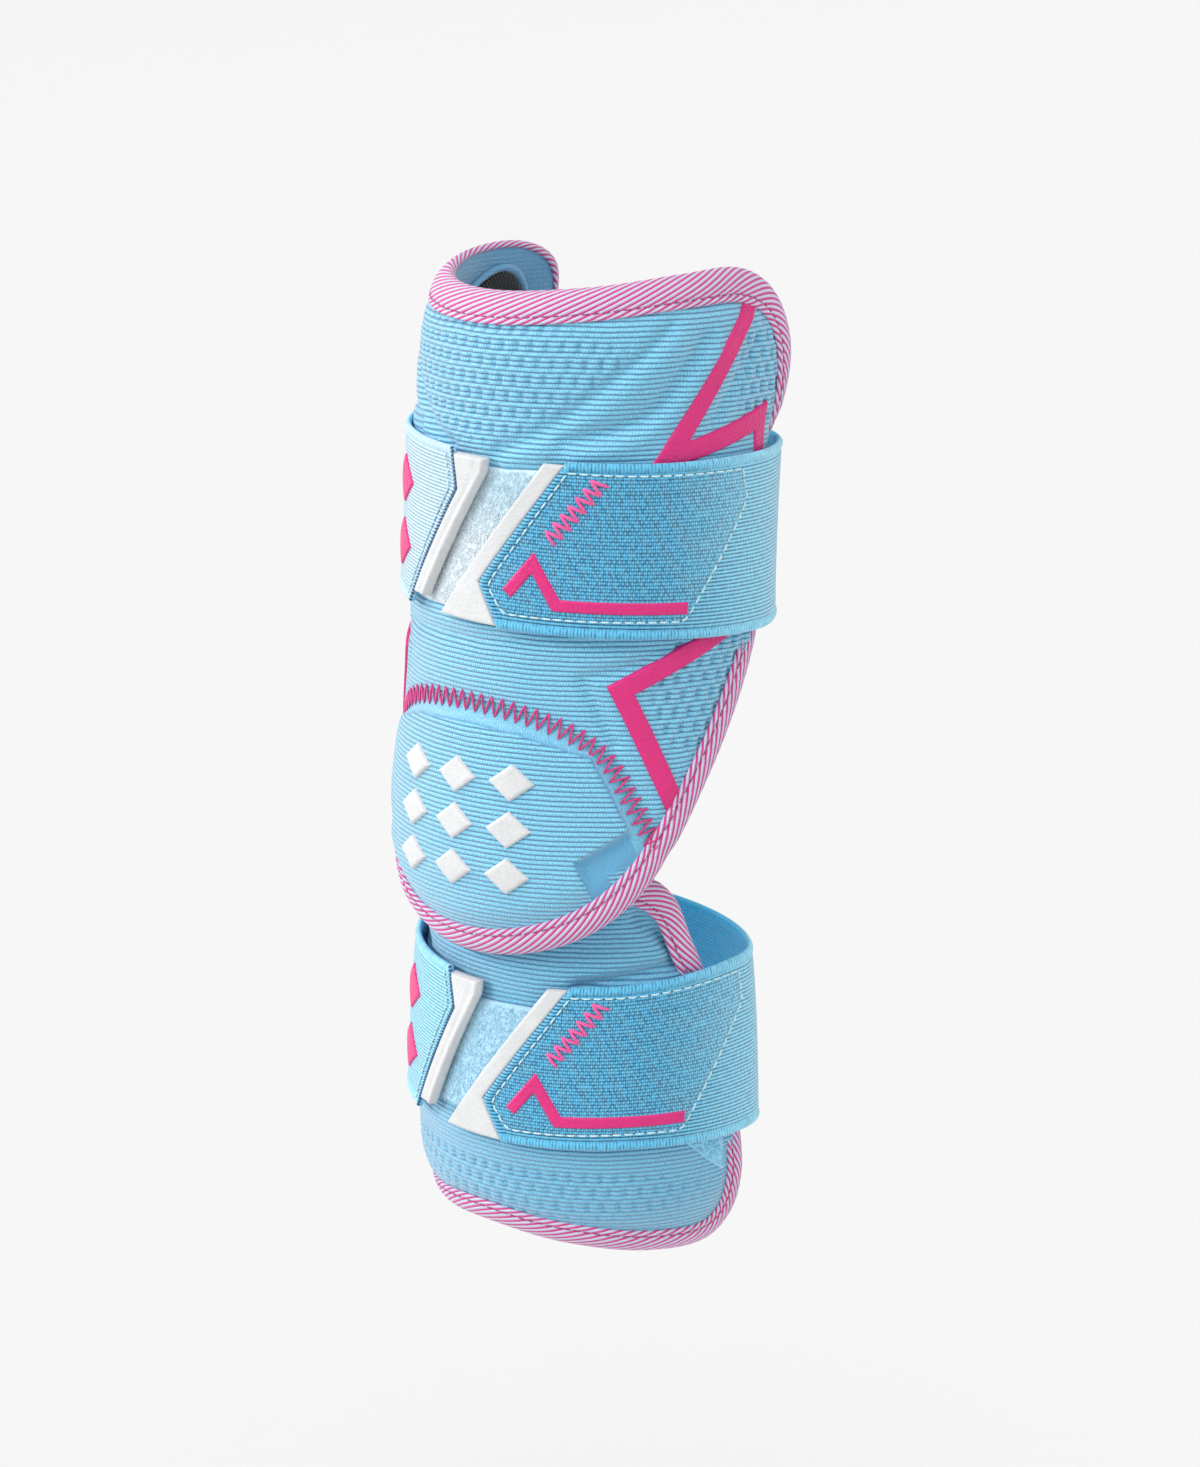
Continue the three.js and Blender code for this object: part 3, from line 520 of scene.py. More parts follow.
def depth_in(polygon, points):
    """Distance of each point inside a polygon from its edge, negative outside: the sign comes from
    how often a ray from the point crosses the edge."""
    ring = np.concatenate([polygon, polygon[:1]])
    x, y = points[..., 0], points[..., 1]
    inside = np.zeros(x.shape, bool)
    for (x0, y0), (x1, y1) in zip(ring[:-1], ring[1:]):
        if y0 == y1:
            continue
        spans = (y0 > y) != (y1 > y)
        inside ^= spans & (x < x0 + (y - y0) * (x1 - x0) / (y1 - y0))
    return np.where(inside, 1, -1) * distance_to(ring, points)


def bell(distance, width):
    """Bell curve: one at nothing, falling away over the width."""
    return np.exp(-((distance / width) ** 2))


def coons(foot, head, left, right):
    """Grid over a patch with four edges: both blends of opposite edges, less the corners' blend."""
    u = np.linspace(0, 1, len(foot))[None, :, None]
    v = np.linspace(0, 1, len(left))[:, None, None]
    across = foot[None] * (1 - v) + head[None] * v
    upward = left[:, None] * (1 - u) + right[:, None] * u
    low = foot[0] * (1 - u) + foot[-1] * u
    high = head[0] * (1 - u) + head[-1] * u
    return across + upward - (low * (1 - v) + high * v)


class Pad:
    """A foam pad's two faces: squeezed towards the tape round the edge, and dipped along its seam."""

    def __init__(self, sections, edge):
        self.sections = sections
        self.edge = edge
        self.rim = loop_at(self.edge, np.linspace(0, len(self.edge), RIM_STATIONS * len(self.edge) + 1))
        self.seam = None

    def outer_lift(self, points):
        """Outer face: down by the square of the nearness to the rim, with a valley beside the tape."""
        depth = distance_to(self.rim, points)
        lift = -OUTER_SQUEEZE * np.maximum(0, 1 - depth / RIM_WIDTH) ** 2
        lift = lift - TAPE_VALLEY * bell(depth - VALLEY_INSET, VALLEY_WIDTH)
        if self.seam is not None:
            lift = lift - SEAM_DIP * bell(distance_to(self.seam, points), SEAM_WIDTH)
        return lift

    def inner_lift(self, points):
        """Inner face: the wall's thickness below the outer one, and up towards the rim."""
        squeeze = np.maximum(0, 1 - distance_to(self.rim, points) / RIM_WIDTH) ** 2
        return INNER_SQUEEZE * squeeze - at_height(self.sections, self.sections["wall"], points[..., 1])

    def over(self, points, n):
        """Points that far out from the outer face."""
        return place(self.sections, points[..., 0], points[..., 1], n + self.outer_lift(points))

    def under(self, points, n):
        """Points that far in from the inner face."""
        return place(self.sections, points[..., 0], points[..., 1], self.inner_lift(points) - n)

    def edge_line(self, start, stop, count):
        """Even points of the pad's own edge, inside the tape."""
        t = np.linspace(start, stop, SIDE_STATIONS)
        return evenly(inset(self.edge, t, np.full(t.shape, PAD_INSET)), count)


def seam_curve(count):
    """Even points of the seam over the cap, from the left edge to the right one."""
    end = inset(UPPER.edge, np.array([float(SEAM_END)]), np.array([PAD_INSET]))
    left = SEAM[:0:-1] * [-1, 1]
    return open_curve(np.concatenate([end * [-1, 1], left, SEAM, end]), count)


UPPER_LOOP = close_loop(UPPER_EDGE)
UPPER_LOOP[-1 - len(LEFT_EAR) : -1] = LEFT_EAR
UPPER = Pad(UPPER_SECTIONS, UPPER_LOOP)
LOWER = Pad(LOWER_SECTIONS, close_loop(LOWER_EDGE))
UPPER.seam = seam_curve(SEAM_STATIONS)
PADS = {"upper": UPPER, "lower": LOWER}


class Strap:
    """An elastic strap: its front follows the pad, its back is one smooth bend behind the arm. Lengths
    come in millimetres: the foot's height, the flare of the edges, the wing's radius and the place of
    leaving the pad at foot and head, the back's depth, and how far the left end's head is shifted. Tilt
    and pitch are slopes, and pale is the share of painted light, as paler cloth, at the left end."""

    def __init__(self, name, sections, foot, tilt, pitch, flare, wing, leave, back, left_shift, pale):
        self.name = name
        self.sections = sections
        self.foot, self.tilt, self.pitch = foot * MM, tilt, pitch
        self.flare, self.back, self.left_shift = flare * MM, back * MM, left_shift * MM
        self.wings, self.leaves = pair(*wing), pair(*leave)
        self.pale = pale

    def right_end(self, h):
        return np.interp(h, *RIGHT_END.T)

    def left_end(self, h):
        return np.interp(h, *LEFT_END.T) + self.left_shift * h / STRAP_WIDTH

    def left_tip(self, h):
        return np.interp(h, *LEFT_TAB_TIP.T) + self.left_shift * h / STRAP_WIDTH

    def leave(self, h):
        return self.leaves[0] + (self.leaves[1] - self.leaves[0]) * h / STRAP_WIDTH

    def flat(self, points, n):
        """Front: a level place on the pad, then its height shifted by the strap's tilt across, its
        pitch towards the back and the flare of its edges."""
        s, h = points[..., 0], points[..., 1]
        wing = self.wings[0] + (self.wings[1] - self.wings[0]) * h / STRAP_WIDTH
        level = place(self.sections, s, self.foot + h, 0, wing)
        depth = level[..., 1] + at_height(self.sections, self.sections["radius"], self.foot + h)
        spread = ramp(np.abs(s), *FLARE_REACH)
        flare = self.flare * (h / STRAP_WIDTH - 0.5) * spread
        z = level[..., 2] + self.tilt * level[..., 0] + self.pitch * depth + flare
        on_patch = ramp(s, *PATCH_STEP)
        standoff = STANDOFF_ON_PAD + (STANDOFF_ON_PATCH - STANDOFF_ON_PAD) * on_patch
        return place(self.sections, s, z, standoff + n, wing)

    def lifted(self, points, n):
        """Left end: the front's surface, lifted by the square of the nearness to the end."""
        away = np.maximum(0, self.left_end(points[..., 1]) - points[..., 0])
        return self.flat(points, n + LEFT_LIFT * np.maximum(0, 1 - away / LIFT_REACH) ** 2)

    def behind(self, t, h, n):
        """Back: a cubic from the right side to the left one that leaves and arrives along the front's
        own directions, as long as it takes to reach the strap's depth halfway."""
        leave = self.leave(h)
        side = lambda s: self.flat(np.stack(np.broadcast_arrays(s, h), -1), n)
        right, left = side(leave), side(-leave)
        go_out = unit(right - side(leave - STRAP_STEP))
        come_in = unit(side(STRAP_STEP - leave) - left)
        rise = self.back + n - (right[..., 1] + left[..., 1]) / 2
        reach = (8 * rise / (go_out[..., 1] - come_in[..., 1]))[..., None]
        t = t[..., None]
        blend = t * t * (3 - 2 * t)
        bend = go_out * reach * t * (1 - t) ** 2 - come_in * reach * t * t * (1 - t)
        return right * (1 - blend) + left * blend + bend

    def foot_height(self, s):
        """Height of the strap's lower edge at a place round the front."""
        return self.flat(np.stack([s, np.zeros_like(s)], -1), 0.0)[..., 2]


STRAPS = [
    Strap(
        "upper", UPPER_SECTIONS, foot=55, tilt=-0.055, pitch=0, flare=1.5,
        wing=(18, 34), leave=(90, 98), back=36, left_shift=0, pale=1.0,
    ),
    Strap(
        "lower", LOWER_SECTIONS, foot=-87.5, tilt=-0.02, pitch=0.055, flare=4,
        wing=(9, 10), leave=(88, 82), back=24, left_shift=-4, pale=0.0,
    ),
]


def fold_over(points):
    """The same places on the right half: s without its sign."""
    return np.stack([np.abs(points[..., 0]), points[..., 1]], -1)


def oval(points, middle, half):
    """One inside an oval and nothing outside, with a soft edge."""
    span = np.linalg.norm((points - middle) / half, axis=-1)
    return 1 - ramp(span, *OVAL_EDGE)


def creased(creases, points):
    """Moulded creases: for each its height times a bell on the distance from its line, added up."""
    return sum(MM * height * bell(distance_to(line, points), MM * width) for line, height, width in creases)


def beside_strap(points, strap, swell):
    """Foam that swells along both edges of a strap: two bells on the distance from each edge."""
    low = strap.foot_height(points[..., 0])
    below = bell(points[..., 1] - low + SWELL_BELOW, SWELL_WIDTH)
    above = bell(points[..., 1] - low - STRAP_WIDTH - SWELL_ABOVE, SWELL_WIDTH)
    return swell * (below + above)


def dents(points, pitch, row):
    """Staggered upright dents: one in each and nothing between, from two smooth steps on the distance
    from its middle, with each row half a pitch to the side of the last."""
    tall = points[..., 1] / row
    wide = points[..., 0] / pitch + 0.5 * np.floor(tall)
    off = lambda value: np.abs(value - np.floor(value) - 0.5)
    return (1 - ramp(off(wide), *DENT_SIDES)) * (1 - ramp(off(tall), *DENT_ENDS))


def body_waffle(points):
    """Where the upper pad is dented: the middle above the crease, the ear and the side."""
    folded = fold_over(points)
    border = np.interp(folded[..., 0], *WAFFLE_BORDER[::-1].T)
    front = ramp(folded[..., 1] - border, *WAFFLE_FADE) * oval(folded, *FRONT_DENTS)
    ear = oval(folded, *EAR_DENTS) * ramp(folded[..., 0], *EAR_FADE)
    side = oval(folded, *SIDE_DENTS)
    return np.maximum(np.maximum(front, EAR_DENT_SHARE * ear), SIDE_DENT_SHARE * side)


def body_relief(points):
    """Upper pad: moulded creases with a soft swell on one side, and foam swelling at the strap."""
    relief = creased(BODY_CREASES, fold_over(points)) + creased(SAG_CREASES, points)
    return relief + beside_strap(points, STRAPS[0], UPPER_SWELL)


def cap_relief(points):
    """Elbow cap: a raised plateau inside its border, and a pressed corner beside the tape."""
    raised = ramp(depth_in(CAP_PLATEAU, points), *PLATEAU_SLOPE)
    clear = ramp(distance_to(UPPER.rim, points), *PLATEAU_CLEAR)
    return (PLATEAU_HEIGHT * raised - PRESSED_DEPTH * cap_pressed(points)) * clear


def cap_border(points):
    """Smooth cloth on the cap outside the plateau, near the seam."""
    border = 1 - ramp(depth_in(CAP_PLATEAU, points), *BORDER_SLOPE)
    return border * (1 - ramp(distance_to(UPPER.seam, points), *BORDER_REACH))


def cap_pressed(points):
    """The cap's pressed corner on each side."""
    return ramp(depth_in(CAP_PRESSED, fold_over(points)), *PRESSED_SLOPE)


def lower_waffle(points):
    """Where the lower pad is dented: a band under the strap."""
    return LOWER_DENT_SHARE * oval(fold_over(points), *LOWER_DENTS)


def lower_relief(points):
    """Lower pad: two soft folds below the tongue, and foam swelling at the strap."""
    return creased(LOWER_CREASES, fold_over(points)) + beside_strap(points, STRAPS[1], LOWER_SWELL)


def outward(points, faces):
    """The faces, turned if the volume that they close comes out negative."""
    a, b, c, d = (points[faces[:, k]] for k in range(4))
    volume = np.sum(a * np.cross(b, c)) + np.sum(a * np.cross(c, d))
    return faces if volume > 0 else faces[:, ::-1]


def grid_faces(index):
    """Quads between neighbouring rows and columns of a grid of point numbers."""
    corners = [index[:-1, :-1], index[:-1, 1:], index[1:, 1:], index[1:, :-1]]
    return np.stack(corners, -1).reshape(-1, 4)


def slab(outer, inner):
    """Closed slab: an outer and an inner grid of points, joined by a wall round their edge."""
    index = np.arange(outer.shape[0] * outer.shape[1]).reshape(outer.shape[:2])
    rim = np.concatenate([index[0, :-1], index[:-1, -1], index[-1, :0:-1], index[:0:-1, 0]])
    after = np.roll(rim, -1)
    quads = grid_faces(index)
    wall = np.stack([after, rim, rim + index.size, after + index.size], -1)
    points = np.concatenate([outer.reshape(-1, 3), inner.reshape(-1, 3)])
    return points, outward(points, np.concatenate([quads, quads[:, ::-1] + index.size, wall]))


def ring(loops):
    """Closed ring: one closed loop of points per station, joined to the next station's loop."""
    index = np.arange(loops.shape[0] * loops.shape[1]).reshape(loops.shape[:2])
    index = np.concatenate([index, index[:1]])
    index = np.concatenate([index, index[:, :1]], axis=1)
    points = loops.reshape(-1, 3)
    return points, outward(points, grid_faces(index))


def threads(path, out, radius, sides=6):
    """Round threads along many short paths at once: each ring of points turns about its path in the
    plane of the surface's outward direction and the sideways one, and each end closes to a tip."""
    forward = unit(np.gradient(path, axis=1))
    sideways = unit(np.cross(forward, out))
    upward = np.cross(sideways, forward)
    turn = np.linspace(0, 2 * math.pi, sides, endpoint=False)[:, None]
    taper = np.sqrt(1 - np.linspace(-THREAD_TIP, THREAD_TIP, path.shape[1]) ** 4)[None, :, None, None]
    spoke = np.cos(turn) * sideways[:, :, None] + np.sin(turn) * upward[:, :, None]
    rings = path[:, :, None] + radius * taper * spoke
    index = np.arange(rings.size // 3).reshape(rings.shape[:3])
    wrapped = np.concatenate([index, index[..., :1]], axis=2)
    corners = [wrapped[:, :-1, :-1], wrapped[:, :-1, 1:], wrapped[:, 1:, 1:], wrapped[:, 1:, :-1]]
    tube = np.stack(corners, -1).reshape(-1, 4)
    fans = [[0, k, k + 1, (k + 2) % sides] for k in range(1, sides - 1, 2)]
    fan = lambda cap: np.concatenate([cap[:, corner] for corner in fans])
    points = rings.reshape(-1, 3)
    faces = np.concatenate([tube, fan(index[:, 0, ::-1]), fan(index[:, -1])])
    return points, outward(points, faces)


def dashes(line, length, gap):
    """Starts and stops of even dashes along a chain."""
    total = along(line)[-1]
    count = max(1, round(total / (length + gap)))
    start = total * np.arange(count) / count
    return on_chain(line, start), on_chain(line, start + total / count * length / (length + gap))


def zigzag(line, width, pitch):
    """Starts and stops of strokes that cross from one side of a chain to the other and back."""
    total = along(line)[-1]
    count = 2 * round(total / pitch) + 1
    at = np.linspace(0, total, count)
    tangent = unit(on_chain(line, at + STITCH_STEP) - on_chain(line, at - STITCH_STEP))
    side = np.where(np.arange(count) % 2, 1, -1)[:, None]
    corner = on_chain(line, at) + side * width / 2 * tangent[:, ::-1] * [-1, 1]
    return corner[:-1], corner[1:]


def stitch(ends, to_point, radius, arch, rings=6):
    """Threads from starts to stops: straight on the surface, lifted by a sine arch between the ends,
    which sink in."""
    start, stop = ends
    t = np.linspace(0, 1, rings)
    places = start[:, None] * (1 - t[:, None]) + stop[:, None] * t[:, None]
    rise = np.sin(math.pi * t)
    lift = THREAD_SEAT * radius + arch * rise - THREAD_SINK * radius * (1 - rise)
    lift = np.broadcast_to(lift, places.shape[:2])
    path = to_point(places, lift)
    out = unit(to_point(places, lift + STITCH_STEP) - path)
    return threads(path, out, radius)


def sewn(strokes, line, sizes, to_point):
    """Row of stitches along a chain: strokes is dashes or zigzag, and sizes are its two measures, the
    thread's radius and its arch, in millimetres."""
    first, second, radius, arch = (MM * size for size in sizes)
    return stitch(strokes(line, first, second), to_point, radius, arch)


def joined(*meshes):
    """Several meshes of points and faces as one."""
    starts = np.cumsum([0] + [len(points) for points, _ in meshes[:-1]])
    points = np.concatenate([points for points, _ in meshes])
    return points, np.concatenate([faces + start for (_, faces), start in zip(meshes, starts)])


def stations(run, step, bevel):
    """Distances along a chain: fine steps over the bevel at both ends, even steps between, and the
    chain's own corners."""
    total = run[-1]
    fine = bevel * BEVEL_STEPS
    even = np.linspace(0, total, int(total / step) + 2)
    middle = even[(even > BEVEL_CLEAR * bevel) & (even < total - BEVEL_CLEAR * bevel)]
    return np.unique(np.round(np.concatenate([fine, total - fine, middle, run]), 7))


def plate(edge_a, edge_b, to_point, low, high, bevel, step=1.2 * MM, shape=None):
    """Moulded plate between two edges with matching corners: its top falls in a quarter circle to its
    base within the bevel from the outline."""
    run = along((edge_a + edge_b) / 2)
    rows = stations(run, step, bevel)
    at_rows = lambda edge: np.stack([np.interp(rows, run, column) for column in edge.T], -1)
    side_a, side_b = at_rows(edge_a), at_rows(edge_b)
    width = np.linalg.norm(edge_a - edge_b, axis=1).mean()
    share = (stations(np.array([0, width]), step, bevel) / width)[None, :, None]
    grid = side_a[:, None] * (1 - share) + side_b[:, None] * share
    outline = np.concatenate([side_a, side_b[::-1], side_a[:1]])
    nearness = 1 - np.clip(distance_to(outline, grid) / bevel, 0.05, 1)
    top = low + (high - low) * np.sqrt(1 - nearness**2)
    if shape is not None:
        top = top + shape(grid)
    points, faces = slab(to_point(grid, top), to_point(grid, np.full(grid.shape[:2], low)))
    return points, faces, np.tile(grid.reshape(-1, 2), (2, 1))


def band(line, width):
    """The two edges of a mitred band of a given width along a chain."""
    runs = unit(np.diff(line, axis=0))
    normal = runs[:, ::-1] * [-1, 1]
    before = np.concatenate([normal[:1], normal])
    after = np.concatenate([normal, normal[-1:]])
    mitre = unit(before + after)
    reach = width / 2 / np.sum(mitre * before, axis=1, keepdims=True)
    return line + mitre * reach, line - mitre * reach


def diamond(middle, half):
    """The upper left and the lower right edge of a diamond, with matching corners."""
    left, top = middle - half * [1, 0], middle + half * [0, 1]
    right, foot = middle + half * [1, 0], middle - half * [0, 1]
    return np.stack([left, top]), np.stack([foot, right])


def add_piece(name, points, faces, finish, node=None, cloth=None, length=None, masks=None):
    """Object at the origin with its place in its mesh, riding on the guard. cloth is a UV map in
    metres, and where a closed ring's last faces meet its first ones, length is added to u there."""
    mesh = bpy.data.meshes.new(name)
    mesh.vertices.add(len(points))
    mesh.vertices.foreach_set("co", points.astype(np.float32).ravel())
    mesh.loops.add(faces.size)
    mesh.loops.foreach_set("vertex_index", faces.astype(np.int32).ravel())
    mesh.polygons.add(len(faces))
    mesh.polygons.foreach_set("loop_start", np.arange(0, faces.size, 4, dtype=np.int32))
    mesh.polygons.foreach_set("use_smooth", np.ones(len(faces), bool))
    if cloth is not None:
        corners = cloth[faces]
        if length is not None:
            u = corners[..., 0]
            meets = np.ptp(u, axis=1, keepdims=True) > length / 2
            corners[..., 0] = np.where(meets & (u < length / 2), u + length, u)
        layer = mesh.uv_layers.new(name="cloth")
        layer.data.foreach_set("uv", corners.astype(np.float32).ravel())
    for key, values in (masks or {}).items():
        mask = mesh.attributes.new(key, "FLOAT", "POINT")
        mask.data.foreach_set("value", values.astype(np.float32).ravel())
    mesh.update(calc_edges=True)
    mesh.validate()
    mesh.materials.append(finish)
    piece = bpy.data.objects.new(name, mesh)
    bpy.context.scene.collection.objects.link(piece)
    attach(piece, "root")
    if node is not None:
        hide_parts(node)
    return piece


def add_plate(name, edges, to_point, low, high, bevel, finish, slot, node, **options):
    """A piece that is one moulded plate between two edges."""
    points, faces, cloth = plate(*edges, to_point, low, high, bevel, **options)
    return add_piece(name, points, faces, finish, node, cloth)


class Finish:
    """A material in the making: nodes are added by short calls, and numbers stay on their sockets."""

    def __init__(self, name, colour, roughness, sheen=0.0, gloss=0.3):
        self.material = bpy.data.materials.new(name)
        self.material.use_nodes = True
        self.material.diffuse_color = (*colour, 1)
        self.tree = self.material.node_tree
        self.shader = self.tree.nodes["Principled BSDF"]
        self.shader.inputs["Base Color"].default_value = (*colour, 1)
        self.shader.inputs["Roughness"].default_value = roughness
        self.shader.inputs["Specular IOR Level"].default_value = gloss
        self.shader.inputs["Sheen Weight"].default_value = sheen
        self.shader.inputs["Sheen Roughness"].default_value = 0.5

    def add(self, kind, sockets, output=0, **settings):
        """Adds one node; each socket takes a number or another node's output."""
        node = self.tree.nodes.new("ShaderNode" + kind)
        for key, value in settings.items():
            setattr(node, key, value)
        for key, value in sockets.items():
            if isinstance(value, bpy.types.NodeSocket):
                self.tree.links.new(value, node.inputs[key])
            else:
                node.inputs[key].default_value = value
        return node.outputs[output]

    def math(self, operation, *values):
        return self.add("Math", dict(enumerate(values)), operation=operation)

    def plus(self, a, b):
        return self.math("ADD", a, b)

    def times(self, a, b):
        return self.math("MULTIPLY", a, b)

    def scaled(self, value, factor, base):
        """Value times a factor, on top of a base."""
        return self.math("MULTIPLY_ADD", value, factor, base)

    def weigh(self, a, part_a, b, part_b):
        """Two values, each times its part, added."""
        return self.scaled(a, part_a, self.times(b, part_b))

    def rest(self, value):
        """One less the value."""
        return self.math("SUBTRACT", 1.0, value)

    def size(self, value):
        """Value without its sign."""
        return self.math("ABSOLUTE", value)

    def wave(self, value, pitch):
        """Sine of a length, once per pitch."""
        return self.math("SINE", self.times(value, 2 * math.pi / pitch))

    def swing(self, value, pitch):
        """The same sine as a share from 0 to 1."""
        return self.scaled(self.wave(value, pitch), 0.5, 0.5)

    def share(self, value, low, high):
        """Value from low to high as a share from 0 to 1."""
        return self.add(
            "MapRange",
            {"Value": value, "From Min": low, "From Max": high, "To Min": 0.0, "To Max": 1.0},
            interpolation_type="SMOOTHSTEP",
        )

    def cloth(self):
        """The cloth's own two coordinates in metres, and both as a vector."""
        vector = self.add("UVMap", {}, uv_map="cloth")
        node = self.tree.nodes.new("ShaderNodeSeparateXYZ")
        self.tree.links.new(vector, node.inputs[0])
        return node.outputs[0], node.outputs[1], vector

    def mask(self, name):
        return self.add("Attribute", {}, output="Fac", attribute_name=name)

    def place(self):
        return self.add("TexCoord", {}, output="Object")

    def noise(self, vector, scale, detail=2.0):
        return self.add("TexNoise", {"Vector": vector, "Scale": scale, "Detail": detail})

    def mix(self, share, dark, light):
        full = lambda colour: colour if isinstance(colour, bpy.types.NodeSocket) else (*colour, 1)
        return self.add("Mix", {0: share, 6: full(dark), 7: full(light)}, output=2, data_type="RGBA")

    def toned(self, share, colour, dark, light):
        """One colour from a darker to a lighter tone of it: dark and light are factors."""
        return self.mix(share, shade(colour, dark), shade(colour, light))

    def close(self, colour, height, depth):
        """Links the colour, and the height as a bump of that depth in metres."""
        self.tree.links.new(colour, self.shader.inputs["Base Color"])
        bump = self.add("Bump", {"Height": height, "Distance": depth, "Strength": 1.0})
        self.tree.links.new(bump, self.shader.inputs["Normal"])
        return self.material


def shade(colour, factor):
    """The same colour, darker or lighter."""
    return tuple(min(1.0, factor * part) for part in colour)


def knit_finish(pads):
    """Ribbed knit: rounded ribs across the pad from the root of a sine, broken into stitches along
    each rib, with painted shade in the saturated grooves and paler tips. The mask smooth takes the
    ribs away, dent darkens the dents as painted shade, and deep gives the lining and pressed
    corners their deeper colour and the lower pad painted shade."""
    finish = Finish("ribbed knit", pads.knit_colour, roughness=0.48, sheen=0.65, gloss=1.0)
    u, v, vector = finish.cloth()
    drift = finish.times(finish.noise(vector, scale=60.0), 0.6 * pads.rib_pitch)
    level = finish.math("DIVIDE", finish.plus(v, drift), pads.rib_pitch)
    ridge = finish.size(finish.wave(level, 2.0))
    row = finish.times(finish.math("FLOOR", level), RIB_SHIFT)
    step = finish.plus(finish.math("DIVIDE", u, pads.stitch_pitch), row)
    loop = finish.swing(step, 1.0)
    grain = finish.share(finish.noise(vector, scale=1500.0), 0.3, 0.7)
    smooth = finish.mask("smooth")
    ribbed = finish.times(finish.math("POWER", ridge, 0.7), finish.rest(smooth))
    stitches = finish.weigh(loop, 0.22, grain, 0.25)
    height = finish.times(finish.plus(ribbed, stitches), pads.rib_depth)
    raised = finish.math("MAXIMUM", finish.share(ribbed, 0.15, 0.9), finish.times(smooth, 0.75))
    # Painted shade: the cloth is darkened inside the dents
    raised = finish.times(raised, finish.scaled(finish.mask("dent"), -0.3, 1.0))
    mottle = finish.weigh(grain, 0.6, loop, 0.4)
    # Painted shade: the grooves between the ribs take the darker groove colour, the rib tips the knit colour
    cloth = finish.mix(raised, pads.groove_shade_colour, finish.toned(mottle, pads.knit_colour, 0.74, 1.34))
    # Deep: the lining's and pressed corners' own colour, and painted shade over the lower pad
    deep = finish.times(finish.mask("deep"), 0.75)
    return finish.close(finish.mix(deep, cloth, pads.deep_colour), height, 1.0)


def tape_finish(tape, pitch):
    """Bias-striped tape: stripes of two colours from a sine of the run less the slant across, with a
    twill thread on each stripe."""
    finish = Finish("striped tape", tape.stripe_colour, roughness=0.6, sheen=0.15)
    u, v, vector = finish.cloth()
    stripe = finish.wave(finish.math("SUBTRACT", u, finish.times(v, tape.slant)), pitch)
    fine = finish.noise(vector, scale=2400.0, detail=3.0)
    edge = finish.scaled(fine, 0.5, finish.math("SUBTRACT", stripe, 0.4))
    thread = finish.swing(finish.scaled(v, 0.5, u), TWILL_PITCH)
    pale = finish.toned(thread, tape.ground_colour, 0.84, 1.0)
    dark = finish.toned(thread, tape.stripe_colour, 0.8, 1.0)
    height = finish.scaled(thread, 0.3, finish.size(stripe))
    return finish.close(finish.mix(finish.share(edge, -0.3, 0.3), pale, dark), height, 0.18 * MM)


def elastic_finish(straps):
    """Woven elastic: rows along the strap from the size of a sine, crossed by finer columns and the
    over and under of a plain weave inside the doubled panel, faintly streaked along the columns, with
    ticks on the rolled hems. The raised threads carry a painted highlight and the gaps between them
    painted shade. The mask light lightens the cloth past the panel, round the back and at the left
    end, and pale makes the upper strap's left end paler, both as painted light. The mask inside gives
    the inner face a brighter colour, painted light where it lies in shade."""
    finish = Finish("woven elastic", straps.elastic_colour, roughness=0.55, sheen=0.4, gloss=0.5)
    u, v, vector = finish.cloth()
    panel = finish.mask("panel")
    across, upward = finish.wave(u, 2 * straps.column_pitch), finish.wave(v, 2 * straps.row_pitch)
    row, column = finish.size(upward), finish.size(across)
    over = finish.scaled(finish.times(across, upward), 0.5, 0.5)
    plain = finish.scaled(over, 0.3, finish.weigh(column, 0.3, row, 0.4))
    ribs = finish.weigh(column, 0.2, row, 0.8)
    middle = finish.size(finish.math("SUBTRACT", v, STRAP_WIDTH / 2))
    hem_edge = STRAP_WIDTH / 2 - HEM
    hem = finish.share(middle, hem_edge - 0.1 * MM, hem_edge + 0.2 * MM)
    ticks = finish.scaled(finish.wave(u, HEM_TICK_PITCH), 0.16, 0.72)
    flat = finish.plus(finish.times(plain, panel), finish.times(ribs, finish.rest(panel)))
    cloth = finish.scaled(ticks, hem, finish.times(flat, finish.rest(hem)))
    tall = finish.add("VectorMath", {0: vector, 1: (1.0, 0.35, 1.0)}, operation="MULTIPLY")
    streak = finish.share(finish.noise(tall, scale=1500.0), 0.3, 0.7)
    height = finish.scaled(streak, 0.4, cloth)
    share = finish.share(finish.weigh(cloth, 0.8, streak, 0.2), 0.3, 0.82)
    # Painted highlight on the raised threads, painted shade in the gaps between them
    deep = finish.mix(share, straps.shaded_gap_colour, straps.lit_thread_colour)
    # Painted light: the lighter cloth past the panel, round the back and at the left end
    back = finish.toned(share, straps.lit_back_colour, 0.45, 1.3)
    # Painted light: the paler left end, where the light from the left falls
    pale = finish.toned(share, straps.lit_end_colour, 0.5, 1.2)
    shown = finish.mix(finish.mask("pale"), finish.mix(finish.mask("light"), deep, back), pale)
    # Painted light: the inner face brightened where it lies in shade
    inside = finish.toned(share, straps.lit_inside_colour, 0.8, 1.3)
    return finish.close(finish.mix(finish.mask("inside"), shown, inside), height, 0.2 * MM)


def pile_finish(straps):
    """Loop pile: fuzzy noise at two sizes for height and colour. The mask deep deepens the colour as painted
    shade.
    """
    finish = Finish("loop pile", straps.pile_colour, roughness=0.95, sheen=1.0, gloss=0.1)
    vector = finish.place()
    fuzz = finish.noise(vector, scale=2200.0, detail=4.0)
    clumps = finish.noise(vector, scale=450.0, detail=3.0)
    fleck = finish.share(finish.weigh(clumps, 0.12, fuzz, 0.88), 0.3, 0.7)
    pale = finish.toned(fleck, straps.pile_colour, 0.88, 1.14)
    # Painted shade: the deeper pile colour where the mask deep is set
    deep = finish.toned(fleck, straps.shaded_pile_colour, 0.8, 1.2)
    return finish.close(finish.mix(finish.mask("deep"), pale, deep), fuzz, 0.12 * MM)


